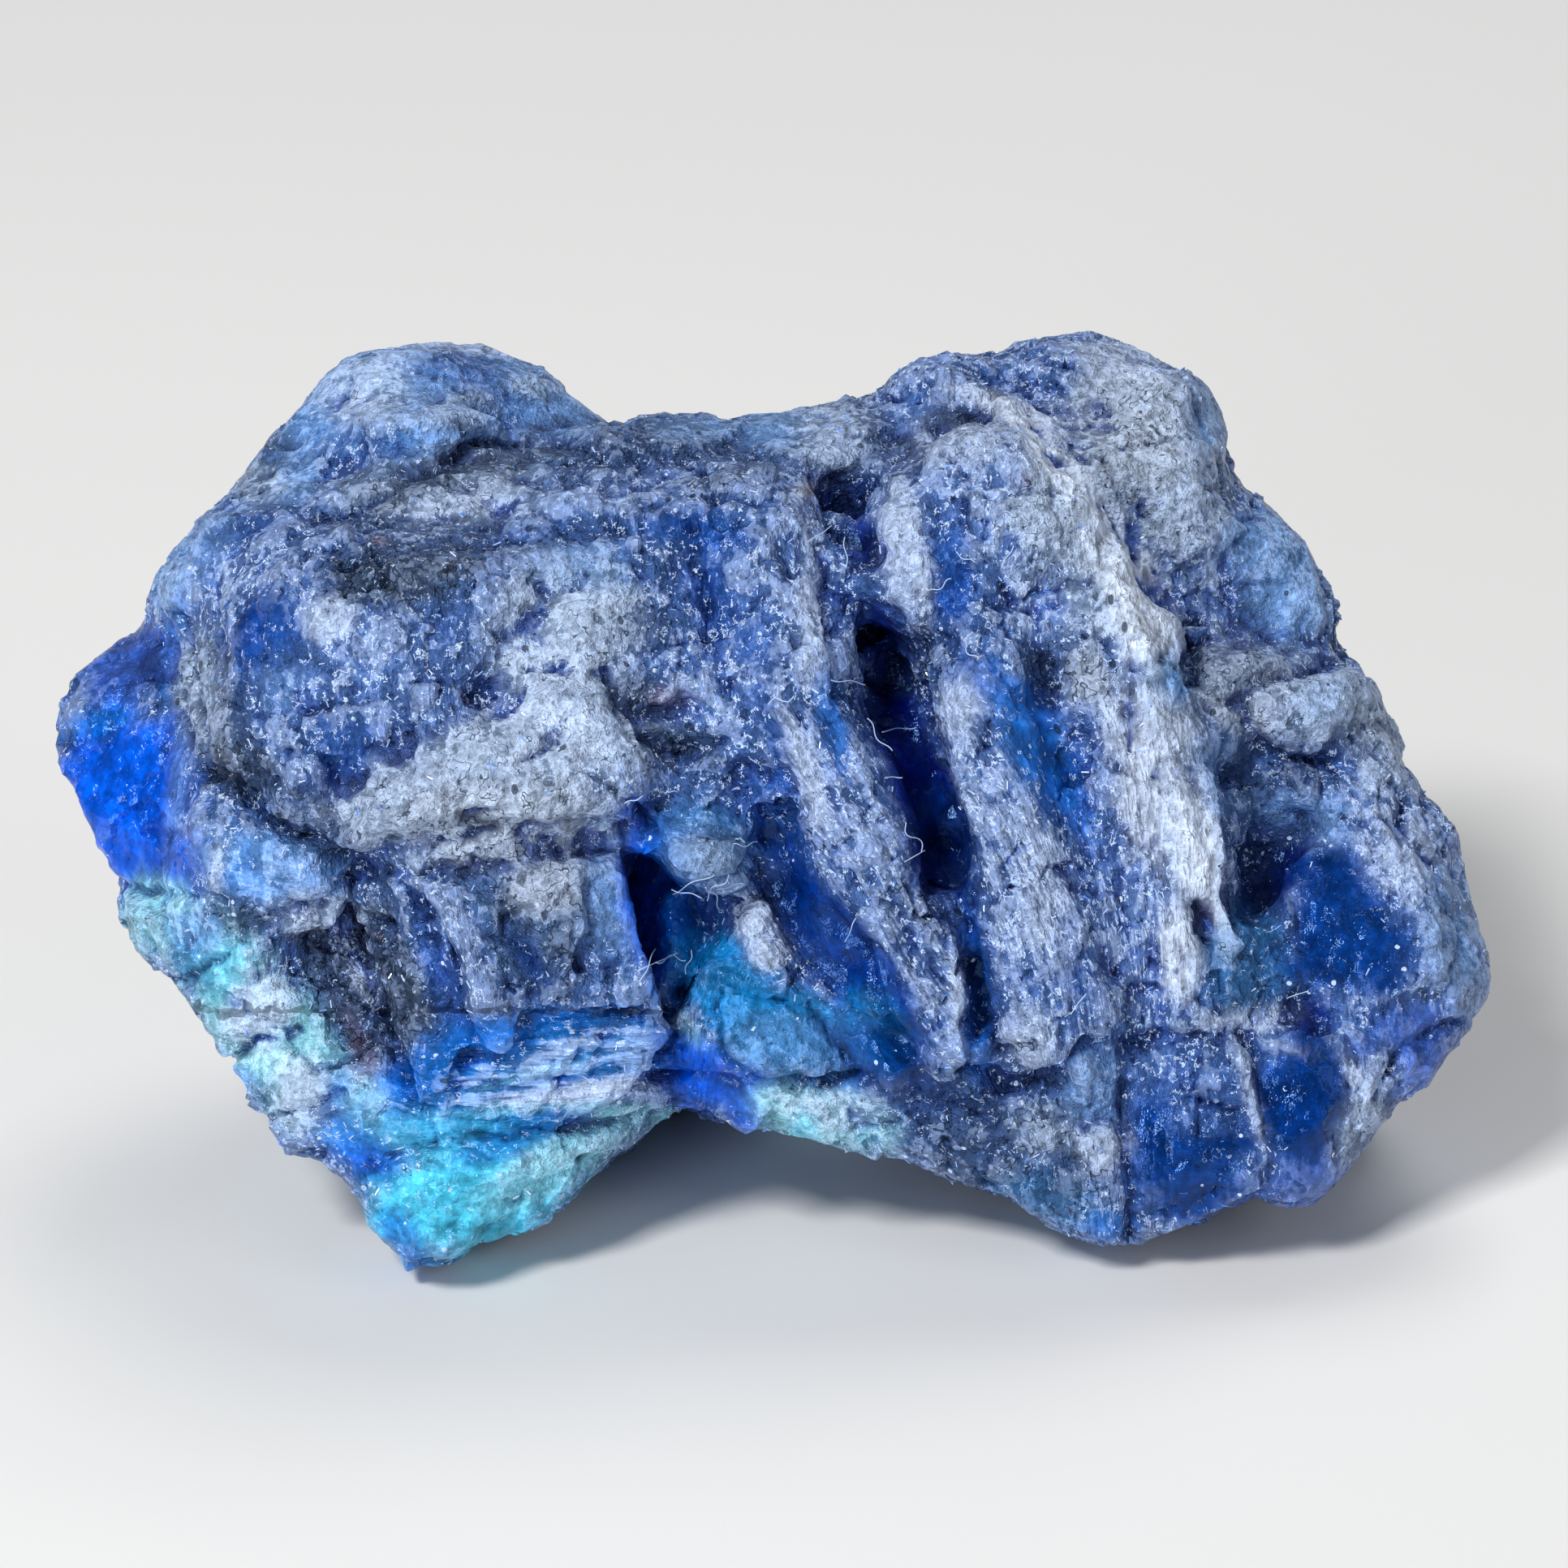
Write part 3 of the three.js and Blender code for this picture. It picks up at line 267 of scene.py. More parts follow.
    ("graphite", 1476, 800, 7, 30, 0, 0.7), ("pale", 1640, 870, 62, 48, 20, 0.9), ("haze", 1640, 870, 40, 30, 0, 0.5),
    ("slate", 1560, 950, 60, 40, 0, 0.8), ("teal", 1440, 840, 26, 30, 0, 0.5), ("fibre", 1430, 960, 60, 130, -12, 0.7),
    ("haze", 1490, 960, 40, 60, 0, 0.5), ("frost", 1440, 1000, 14, 100, -8, 0.5),
    ("pale", 1700, 920, 40, 60, -20, 0.8),
    # right middle
    ("lavender", 1400, 1150, 70, 90, 0, 0.9), ("fibre", 1478, 1060, 24, 70, -10, 0.9),
    ("fibre", 1452, 1165, 20, 46, 0, 0.8), ("fibre", 1508, 1150, 12, 34, -20, 0.9),
    ("navy", 1486, 1138, 11, 26, -8, 1.0), ("teal", 1540, 1180, 50, 70, 0, 0.6), ("slate", 1550, 1200, 50, 60, 0, 0.5),
    ("navy", 1585, 1060, 30, 70, 30, 0.9), ("deep", 1660, 1140, 95, 110, -15, 1.0),
    ("royal", 1680, 1150, 70, 80, -15, 0.3), ("haze", 1600, 1010, 60, 30, 0, 0.7),
    ("lavender", 1745, 1060, 60, 110, -28, 0.9), ("haze", 1790, 1150, 36, 80, -15, 0.7),
    ("frost", 1728, 1050, 40, 50, -28, 0.35), ("navy", 1618, 1252, 26, 22, 0, 0.9),
    ("frost", 1530, 1260, 60, 14, -8, 0.6), ("haze", 1810, 1220, 24, 30, 0, 0.8),
    ("violet", 1770, 1230, 70, 14, -10, 0.7), ("mist", 1730, 1300, 80, 50, -15, 1.0),
    # lower right crystals
    ("deep", 1470, 1400, 100, 120, 0, 1.0), ("violet", 1460, 1310, 80, 50, 0, 0.75),
    ("royal", 1470, 1450, 90, 60, -15, 0.3), ("violet", 1500, 1370, 50, 26, 0, 0.5),
    ("deep", 1620, 1370, 80, 110, 0, 1.0), ("mist", 1620, 1460, 80, 30, -10, 0.7),
    ("frost", 1540, 1346, 7, 78, -13, 0.55), ("frost", 1582, 1290, 34, 5, 17, 0.35),
    ("pale", 1680, 1370, 22, 60, 20, 0.7), ("lavender", 1690, 1330, 30, 20, 0, 0.6),
    ("frost", 1680, 1342, 10, 46, -30, 0.6),
    # foot in the middle
    ("slate", 1240, 1420, 140, 76, 10, 1.0), ("pale", 1290, 1390, 40, 26, 0, 0.5),
    ("slate", 1190, 1390, 60, 40, 0, 0.7), ("frost", 1360, 1410, 28, 26, 0, 0.7),
    ("haze", 1350, 1340, 36, 50, -20, 0.7), ("teal", 1300, 1480, 70, 30, 20, 0.4),
    ("brown", 1310, 1470, 40, 30, 20, 0.4), ("azure", 1370, 1510, 30, 16, 0, 0.7),
]

# Valleys and ridges finer than the solid: points along them in the photograph's pixels, half width in pixels and
# depth in millimetres, where a minus raises a ridge.
STROKES = [
    ([(520, 1110), (548, 1190), (575, 1290)], 26, 0.6), ([(640, 1150), (655, 1200), (650, 1250)], 22, 0.40),
    ([(432, 1110), (455, 1230), (515, 1350)], 14, 0.30),
    ([(420, 1062), (500, 1052), (600, 1030), (700, 1020), (770, 1030)], 20, 0.40),
    ([(572, 1009), (606, 1006)], 10, 0.4), ([(460, 1140), (470, 1168)], 13, 0.8),
    ([(430, 690), (520, 668), (600, 662), (700, 668), (780, 650)], 22, 0.30),
    ([(395, 930), (420, 975), (460, 960)], 12, 0.30), ([(1160, 522), (1186, 510), (1216, 514)], 14, 0.8),
    ([(1060, 750), (1085, 800), (1100, 840)], 30, 0.5), ([(1192, 1180), (1207, 1230), (1202, 1330)], 11, 0.45),
    ([(1240, 840), (1285, 930), (1325, 1010)], 34, -0.3),
    ([(930, 1000), (1000, 1130), (1090, 1260), (1160, 1345)], 40, 0.25), ([(1474, 770), (1478, 835)], 12, 0.6),
    ([(1480, 1118), (1489, 1158)], 12, 0.5), ([(1600, 1010), (1560, 1070), (1545, 1120)], 34, 0.7),
    ([(1598, 1240), (1634, 1262)], 24, 0.5), ([(1200, 1335), (1260, 1345), (1310, 1330), (1345, 1290)], 16, 0.6),
    ([(795, 1000), (812, 1060), (860, 1092), (925, 1075), (940, 1030)], 15, 0.5),
    ([(1030, 590), (1045, 640), (1070, 690)], 26, 0.8),
    ([(400, 640), (480, 600), (560, 560), (620, 532), (690, 540)], 16, 0.45),
    ([(1640, 812), (1570, 822), (1535, 850), (1560, 930), (1640, 940)], 18, 0.5),
    ([(852, 650), (868, 740), (895, 850)], 14, 0.35), ([(1022, 690), (1030, 780), (1035, 850)], 12, 0.30),
    ([(820, 1330), (900, 1335), (1000, 1338), (1060, 1325)], 12, 0.6),
    ([(878, 1195), (890, 1290), (920, 1322)], 8, 0.25), ([(905, 1215), (1000, 1240), (1050, 1300)], 8, 0.22),
    ([(745, 820), (760, 860), (800, 880), (850, 875)], 18, 0.4), ([(800, 905), (850, 925), (890, 915)], 14, 0.4),
    ([(1140, 790), (1210, 800), (1260, 860)], 20, 0.4),
    ([(225, 760), (232, 850), (250, 940), (330, 1010), (420, 1040)], 12, 0.40),
    ([(690, 540), (760, 560), (850, 552), (930, 560)], 12, 0.35),
    ([(1110, 1090), (1170, 1115), (1250, 1100)], 14, 0.25), ([(1390, 1290), (1470, 1280), (1540, 1275)], 12, 0.35),
    ([(1390, 1340), (1385, 1430), (1395, 1520)], 12, 0.40), ([(1700, 1360), (1730, 1290), (1800, 1265)], 12, 0.35),
    ([(850, 560), (880, 620), (960, 610)], 12, 0.30), ([(515, 1075), (560, 1150), (602, 1255)], 34, -0.5),
    ([(1180, 492), (1250, 510), (1305, 560), (1355, 660), (1400, 800), (1430, 900), (1452, 1000), (1478, 1085)],
     26, -0.40),
    ([(1345, 560), (1370, 620), (1380, 700)], 12, -0.25),
    ([(955, 872), (1000, 960), (1080, 1100), (1140, 1230)], 11, -0.22),
    ([(985, 870), (1040, 975), (1110, 1100), (1165, 1190)], 10, -0.20),
    ([(1020, 860), (1065, 960), (1120, 1060)], 9, -0.20),
    ([(1478, 960), (1490, 1050), (1500, 1110), (1516, 1165)], 13, -0.50),
    ([(1445, 1090), (1470, 1170), (1462, 1220)], 14, -0.25), ([(1522, 1270), (1540, 1345), (1558, 1425)], 9, -0.12),
    ([(1553, 1280), (1611, 1300), (1605, 1344)], 7, -0.08),
    ([(250, 645), (330, 640), (420, 662), (450, 690)], 18, -0.35),
    ([(640, 640), (720, 625), (800, 640), (870, 630)], 14, -0.30),
    ([(420, 1035), (470, 1010), (540, 1000)], 18, -0.40), ([(1700, 1010), (1740, 1090), (1780, 1190)], 12, -0.30),
    ([(260, 1050), (270, 1090)], 9, -0.30), ([(340, 1060), (430, 1100)], 20, -0.35),
    ([(700, 1070), (745, 1060), (790, 1200)], 16, -0.12),
    ([(175, 1115), (215, 1175), (270, 1255), (325, 1350), (395, 1440)], 11, -0.40),
    ([(225, 1205), (300, 1165)], 10, 0.35), ([(275, 1300), (365, 1270)], 10, 0.35),
    ([(325, 1385), (420, 1345)], 10, 0.35), ([(150, 1090), (230, 1105)], 10, 0.30),
    ([(470, 1420), (560, 1400), (690, 1395), (800, 1375)], 12, 0.35),
    ([(505, 1560), (560, 1470), (640, 1430)], 12, -0.30),
]

# Broken grain, coarse to fine: shift of its cells, their size and their height in millimetres, and the seed.
GRAINS = [(0.0, 3.4, 0.30, 70), (3.3, 1.5, 0.22, 80), (7.7, 0.65, 0.13, 90)]

# Finishes of the side that isn't seen: the drift that each follows and its sign, the values between which it comes
# in, and its strength.
BACK_FINISHES = [
    ("lavender", "veil", 1.0, 0.05, 0.5, 0.9), ("slate", "veil", -1.0, 0.1, 0.5, 0.8),
    ("pale", "drift", 1.0, 0.25, 0.6, 0.9), ("royal", "drift", -1.0, 0.45, 0.75, 0.85),
    ("brown", "spot", 1.0, 0.55, 0.85, 0.6), ("deep", "spot", -1.0, 0.6, 0.9, 0.7),
]

# Threads of lint: the middle in pixels, length in millimetres, direction in degrees.
LINT = [
    (858, 1102, 1.6, 20), (880, 1110, 1.3, 70), (846, 1096, 1.1, -30), (872, 1120, 1.0, 140), (900, 1096, 0.9, 10),
    (812, 1196, 1.5, 25), (830, 1186, 1.2, -20), (800, 1210, 1.3, 60), (842, 1200, 0.9, 100), (1092, 885, 1.5, -35),
    (1110, 902, 1.2, 10), (1140, 1050, 1.4, 80), (1128, 1062, 0.8, 30), (1102, 958, 0.6, 0), (960, 868, 1.1, 50),
    (1046, 838, 1.2, -20), (1160, 728, 1.0, 30), (1046, 700, 1.1, 80), (1010, 668, 1.0, 40), (1196, 812, 1.0, 120),
    (1050, 1160, 0.9, 60), (780, 990, 0.7, 40), (920, 1040, 0.9, 15), (1240, 700, 0.9, 70), (640, 720, 0.8, 25),
    (1330, 1250, 0.9, 50), (1600, 1230, 0.8, 20), (420, 830, 0.7, 60), (1430, 1120, 0.8, 110), (1190, 680, 0.8, -40),
]

# Broad shallow swells that make a trench shallower: points in pixels, half width in pixels, height in millimetres
# towards the camera.
SWELLS = [
    ([(1150, 1090), (1172, 1150)], 34, 0.9), ([(1180, 1180), (1198, 1300)], 28, 0.9),
    ([(965, 1010), (1010, 1110), (1040, 1180), (1075, 1260), (1100, 1320)], 38, 1.3),
    ([(818, 1080), (832, 1190)], 38, 1.8), ([(812, 1222), (836, 1244)], 24, 1.2),
    ([(690, 700), (650, 790), (600, 880)], 34, 0.3), ([(560, 905), (480, 960)], 34, 0.3),
    ([(1065, 800), (1100, 880)], 30, 0.6),
]

# Grains and beads that stand on the face: middle and half sizes in pixels, height in millimetres.
BEADS = [
    (928, 1132, 22, 26, 1.0), (946, 1172, 24, 24, 1.0), (1184, 1222, 13, 36, 0.7), (470, 907, 10, 12, 0.40),
    (460, 965, 11, 15, 0.45), (455, 1034, 9, 11, 0.40), (868, 1060, 52, 34, 0.8), (405, 765, 24, 20, 0.35),
    (1362, 1410, 28, 26, 0.55), (1290, 1400, 22, 20, 0.40), (1120, 650, 14, 16, 0.35), (1130, 690, 13, 15, 0.35),
    (1138, 735, 12, 16, 0.35), (1106, 700, 11, 13, 0.30), (1640, 870, 56, 46, 0.8), (1698, 930, 30, 36, 0.5),
    (860, 662, 14, 10, 0.30), (1450, 850, 24, 30, 0.40), (640, 1440, 40, 26, 0.3), (345, 1240, 40, 34, 0.6),
    (380, 1350, 36, 34, 0.6), (300, 1180, 30, 26, 0.45), (1350, 1345, 34, 34, 0.5), (1240, 1440, 26, 20, 0.4),
    (1320, 1450, 24, 20, 0.4), (1200, 1400, 30, 22, 0.4), (1600, 985, 26, 22, 0.45), (700, 935, 26, 22, 0.3),
]


def linear(code):
    """The scene colour of an sRGB hex value."""
    channels = [int(code[at:at + 2], 16) / 255.0 for at in (0, 2, 4)]
    return [c / 12.92 if c <= 0.04045 else ((c + 0.055) / 1.055) ** 2.4 for c in channels]


def smoothstep(low, high, value):
    """0 at low, 1 at high and soft at both ends."""
    t = np.clip((value - low) / (high - low), 0.0, 1.0)
    return t * t * (3.0 - 2.0 * t)


def lattice_value(cell, seed):
    """An even random number from 0 to 1 for each whole-numbered cell."""
    h = (cell[..., 0] * 73856093) ^ (cell[..., 1] * 19349663) ^ (cell[..., 2] * 83492791) ^ (seed * 2654435761)
    h = (h ^ (h >> 15)) * 2246822519 & 0xFFFFFFFF
    h = (h ^ (h >> 13)) * 3266489917 & 0xFFFFFFFF
    return ((h ^ (h >> 16)) & 0xFFFFFF) / float(0x1000000)


def cloud(points, size, seed):
    """Soft noise from -1 to 1 whose lumps are about size apart."""
    p = points / size
    base = np.floor(p).astype(np.int64)
    f = p - base
    f = f * f * (3.0 - 2.0 * f)
    total = np.zeros(len(p))
    for corner in range(8):
        step = np.array([(corner >> axis) & 1 for axis in range(3)])
        weight = np.prod(np.where(step == 1, f, 1.0 - f), axis=1)
        total += weight * lattice_value(base + step, seed)
    return total * 2.0 - 1.0


def chips(points, size, seed):
    """Broken grain: each cell is a small plane with its own tilt. Returns the height and the distance to its rim."""
    p = points / size
    base = np.floor(p).astype(np.int64)
    near = np.full(len(p), 9.0)
    second = np.full(len(p), 9.0)
    height = np.zeros(len(p))
    for step in np.ndindex(3, 3, 3):
        cell = base + step - 1
        middle = cell + np.stack([lattice_value(cell, seed + k) for k in (1, 2, 3)], axis=1)
        away = p - middle
        distance = np.sqrt((away * away).sum(axis=1))
        tilt = np.stack([lattice_value(cell, seed + k) for k in (4, 5, 6)], axis=1) * 2.0 - 1.0
        plane = (away * tilt).sum(axis=1) + 0.35 * (lattice_value(cell, seed + 7) - 0.5)
        closer = distance < near
        second = np.where(closer, near, np.minimum(second, distance))
        height = np.where(closer, plane, height)
        near = np.where(closer, distance, near)
    return height, second - near


def face_place(points):
    """Pixel column and row, and height towards the camera in millimetres, of points in millimetres."""
    q = points - AIM_MM
    towards = q @ TOWARDS_CAMERA
    shrink = PIXEL_MM * (1.0 - towards / VIEW_DISTANCE_MM)
    return FRAME_SIDE / 2 + q[:, 0] / shrink, FRAME_SIDE / 2 - (q @ FACE_UP) / shrink, towards


def face_points(column, row, towards):
    """The points in millimetres at pixel columns and rows, and heights towards the camera."""
    shrink = PIXEL_MM * (1.0 - towards / VIEW_DISTANCE_MM)
    across = (column - FRAME_SIDE / 2) * shrink
    up = (FRAME_SIDE / 2 - row) * shrink
    return AIM_MM + np.outer(across, (1.0, 0.0, 0.0)) + np.outer(up, FACE_UP) + np.outer(towards, TOWARDS_CAMERA)


def oval(column, row, middle_x, middle_y, half_x, half_y, turn):
    """Distance from the middle of an oval, 1 at its rim."""
    c, s = math.cos(math.radians(turn)), math.sin(math.radians(turn))
    dx, dy = column - middle_x, row - middle_y
    return np.sqrt(((dx * c + dy * s) / half_x) ** 2 + ((dy * c - dx * s) / half_y) ** 2)


def line_distance(column, row, points):
    """Distance in pixels from a broken line."""
    best = np.full(len(column), 1e9)
    for (x0, y0), (x1, y1) in zip(points, points[1:]):
        along = ((column - x0) * (x1 - x0) + (row - y0) * (y1 - y0)) / ((x1 - x0) ** 2 + (y1 - y0) ** 2)
        t = np.clip(along, 0.0, 1.0)
        best = np.minimum(best, np.hypot(column - x0 - t * (x1 - x0), row - y0 - t * (y1 - y0)))
    return best


def read_rows(items, field, width, kind=np.float64):
    """One field of all of a mesh's points or edges, as rows of numbers."""
    flat = np.empty(len(items) * width, kind)
    items.foreach_get(field, flat)
    return flat.reshape(-1, width)


def mesh_points(mesh):
    """The mesh's points in millimetres."""
    return read_rows(mesh.vertices, "co", 3) / MM


def mesh_edges(mesh):
    """The numbers of the two points of each edge."""
    return read_rows(mesh.edges, "vertices", 2, np.int32)


def set_points(mesh, points):
    """Moves the mesh's points to places in millimetres."""
    mesh.vertices.foreach_set("co", (points * MM).astype(np.float32).ravel())
    mesh.update()


def evened(values, edges, rounds):
    """Averages a field with its neighbours along the mesh's edges."""
    a, b = edges[:, 0], edges[:, 1]
    count = len(values)
    degree = np.bincount(a, minlength=count) + np.bincount(b, minlength=count)
    degree = np.maximum(degree, 1)[:, None]
    field = values.reshape(count, -1).copy()
    for _ in range(rounds):
        total = np.empty_like(field)
        for k in range(field.shape[1]):
            total[:, k] = (np.bincount(a, field[b, k], minlength=count) + np.bincount(b, field[a, k], minlength=count))
        field = 0.4 * field + 0.6 * total / degree
    return field.reshape(values.shape)


def broad_facing(mesh, edges):
    """Which way the larger forms face at each point of the mesh."""
    broad = evened(read_rows(mesh.vertex_normals, "vector", 3), edges, BROAD_ROUNDS)
    return broad / np.maximum(np.linalg.norm(broad, axis=1)[:, None], 1e-6)


def growth_place(points):
    """Places along the crystals' length: the streaks run down and bend to the right below the middle, and run along
    the ledge at the lower left."""
    column, row, _ = face_place(points)
    bend = 0.55 * smoothstep(1480, 1200, column) * smoothstep(820, 900, column) + 0.05
    bent = points.copy()
    bent[:, 0] -= np.maximum(0.0, row - BEND_TOP) * bend * PIXEL_MM
    ledge = (row > LEDGE_TOP) & (column < LEDGE_RIGHT)
    bent[ledge] = bent[ledge][:, [2, 1, 0]]
    return bent


def skin(points, facing):
    """Finish of each point: colour, and its six measures, from the zones in front and from drifts of noise behind."""
    table = {name: np.array([*linear(code), *measures]) for name, (code, *measures) in FINISHES.items()}
    column, row, _ = face_place(points)

    drifts = {"drift": cloud(points, 7.0, 11) + 0.5 * cloud(points, 3.1, 12),
              "veil": cloud(points, 5.0, 21) + 0.6 * cloud(points, 2.2, 22),
              "spot": cloud(points, 2.6, 31) + 0.5 * cloud(points, 1.1, 32)}
    back = np.tile(table["violet"], (len(points), 1))
    front = back.copy()
    for name, drift, sign, low, high, strength in BACK_FINISHES:
        back += (table[name] - back) * (smoothstep(low, high, drifts[drift] * sign) * strength)[:, None]

    ragged = 0.22 * cloud(points, 1.3, 41) + 0.16 * cloud(points, 0.55, 42)
    for name, x, y, half_x, half_y, turn, strength in ZONES:
        narrow = min(half_x, half_y)
        reach = 1.0 + min(FADE / narrow, 0.8)
        full = min(0.55, 1.0 - FULL / min(narrow, 60.0))
        distance = oval(column, row, x, y, half_x, half_y, turn)
        near = np.flatnonzero(distance < reach + 0.6)
        amount = smoothstep(reach, full, distance[near] + ragged[near]) * strength
        front[near] += (table[name] - front[near]) * amount[:, None]
    share = smoothstep(-0.45, -0.15, facing + 0.15 * cloud(points, 2.0, 51))[:, None]
    return back * (1.0 - share) + front * share


def carve(mesh, points, edges):
    """Where the points of the fine mesh go: named valleys, ridges, beads and swells, then grain and growth streaks."""
    broad = broad_facing(mesh, edges)
    facing = broad @ TOWARDS_CAMERA
    column, row, _ = face_place(points)
    seen = smoothstep(0.0, 0.3, facing)
    wobble_x = column + 9.0 * cloud(points, 1.1, 61) + 4.0 * cloud(points, 0.5, 62)
    wobble_y = row + 9.0 * cloud(points, 1.1, 63) + 4.0 * cloud(points, 0.5, 64)
    shift = np.zeros(len(points))
    for line, half_width, depth in STROKES:
        distance = line_distance(wobble_x, wobble_y, line) / half_width
        shift -= depth * np.exp(-1.6 * distance ** 1.7) * seen
    for x, y, half_x, half_y, height in BEADS:
        distance = oval(wobble_x * 0.5 + column * 0.5, wobble_y * 0.5 + row * 0.5, x, y, half_x, half_y, 0.0)
        shift += height * 0.55 * np.clip(1.0 - distance ** 2, 0.0, 1.0) * seen
    points = points + broad * shift[:, None]
    rise = np.zeros(len(points))
    for line, half_width, height in SWELLS:
        rise += height * np.exp(-1.3 * (line_distance(column, row, line) / half_width) ** 2) * seen
    points = points + TOWARDS_CAMERA * rise[:, None]

    finish = skin(points, facing)
    hackle, stria = finish[:, 6], finish[:, 7]
    (coarse, coarse_rim), (middle, middle_rim), (fine, _) = [
        chips(points + offset, size, seed) for offset, size, _, seed in GRAINS]
    grain = GRAINS[0][2] * coarse + GRAINS[1][2] * middle + GRAINS[2][2] * fine
    grain -= 0.05 * smoothstep(0.10, 0.0, coarse_rim) + 0.06 * smoothstep(0.10, 0.0, middle_rim)
    long_place = growth_place(points) * np.array((1.0, 1.0, 0.16))
    streak = np.abs(cloud(long_place, 0.75, 101)) * 0.8 + np.abs(cloud(long_place, 0.38, 102)) * 0.5
    move = hackle * grain - stria * 0.28 * (streak - 0.4)
    floor_keep = smoothstep(0.05, 0.7, points[:, 2])
    points = points + broad * (move * floor_keep)[:, None]
    points[:, 2] = np.maximum(points[:, 2], 0.0)
    return points


# Short names of the steps that the finishes are made of. "plus" is its first value times its second plus its third,
# "held" keeps that from 0 to 1, "steady" and "ramp" take a value from one span to another, and "ramp" does so softly.
NODES = {
    "noise": ("ShaderNodeTexNoise", {}),
    "cells": ("ShaderNodeTexVoronoi", {}),
    "stretch": ("ShaderNodeMapping", {}),
    "split": ("ShaderNodeSeparateXYZ", {}),
    "split_colour": ("ShaderNodeSeparateColor", {}),
    "times": ("ShaderNodeMath", {"operation": "MULTIPLY"}),
    "power": ("ShaderNodeMath", {"operation": "POWER"}),
    "plus": ("ShaderNodeMath", {"operation": "MULTIPLY_ADD"}),
    "held": ("ShaderNodeMath", {"operation": "MULTIPLY_ADD", "use_clamp": True}),
    "above": ("ShaderNodeMath", {"operation": "GREATER_THAN"}),
    "below": ("ShaderNodeMath", {"operation": "LESS_THAN"}),
    "larger": ("ShaderNodeMath", {"operation": "MAXIMUM"}),
    "unsigned": ("ShaderNodeMath", {"operation": "ABSOLUTE"}),
    "steady": ("ShaderNodeMapRange", {}),
    "ramp": ("ShaderNodeMapRange", {"interpolation_type": "SMOOTHSTEP"}),
    "mix": ("ShaderNodeMix", {"data_type": "RGBA"}),
    "multiply": ("ShaderNodeMix", {"data_type": "RGBA", "blend_type": "MULTIPLY"}),
    "mix_value": ("ShaderNodeMix", {"data_type": "FLOAT"}),
    "scale": ("ShaderNodeVectorMath", {"operation": "SCALE"}),
    "difference": ("ShaderNodeVectorMath", {"operation": "SUBTRACT"}),
    "sum": ("ShaderNodeVectorMath", {"operation": "ADD"}),
    "unit": ("ShaderNodeVectorMath", {"operation": "NORMALIZE"}),
    "surface": ("ShaderNodeBsdfPrincipled", {}),
    "material": ("ShaderNodeOutputMaterial", {}),
}


def add(tree, kind, *values, settings=None, **inputs):
    """Adds a node. Values go to its inputs in order, or by name with _ for a space. A node that is given as a value
    stands for its first result."""
    kind, ready = NODES.get(kind, (kind, {}))
    made = tree.nodes.new(kind)
    for name, value in {**ready, **(settings or {})}.items():
        setattr(made, name, value)
    targets = list(zip([socket for socket in made.inputs if socket.enabled], values))
    targets += [(made.inputs[name.replace("_", " ")], value) for name, value in inputs.items()]
    for socket, value in targets:
        if isinstance(value, bpy.types.Node):
            value = next(result for result in value.outputs if result.enabled)
        if isinstance(value, bpy.types.NodeSocket):
            tree.links.new(value, socket)
        else:
            socket.default_value = value
    return made


def empty_material(name):
    """A new material and its node tree, with no nodes in it."""
    material = bpy.data.materials.new(name)
    material.use_nodes = True
    material.node_tree.nodes.clear()
    return material, material.node_tree


def put_fields(mesh):
    """Writes the stone's finish to the mesh as attributes that its material reads; painted shade darkens the colour in
    small hollows.
    """
    points, edges = mesh_points(mesh), mesh_edges(mesh)
    broad = broad_facing(mesh, edges)
    finish = skin(points, broad @ TOWARDS_CAMERA)
    near_middle = evened(points, edges, SMALL_HOLLOW_ROUNDS)
    far_middle = evened(near_middle, edges, WIDE_HOLLOW_ROUNDS)
    small_hollow = ((near_middle - points) * broad).sum(axis=1)
    wide_hollow = ((far_middle - points) * broad).sum(axis=1)
    hollow = np.clip(2.2 * small_hollow + 1.3 * wide_hollow, -1.0, 1.0)
    # Painted shade: the colour is darkened by up to a half in small hollows and creases.
    finish[:, :3] *= (1.0 - 0.5 * smoothstep(0.02, 0.16, small_hollow))[:, None]
    clear, frost, grime, _, stria, glitter = finish[:, 3:].T
    for name, columns in (("tint", (*finish[:, :3].T, np.ones(len(points)))), ("body", (clear, frost, grime)),
                          ("look", (glitter, hollow, stria)), ("growth", growth_place(points).T * MM)):
        kind, field = ("FLOAT_COLOR", "color") if name == "tint" else ("FLOAT_VECTOR", "vector")
        made = mesh.attributes.new(name, kind, "POINT")
        made.data.foreach_set(field, np.stack(columns, axis=1).astype(np.float32).ravel())


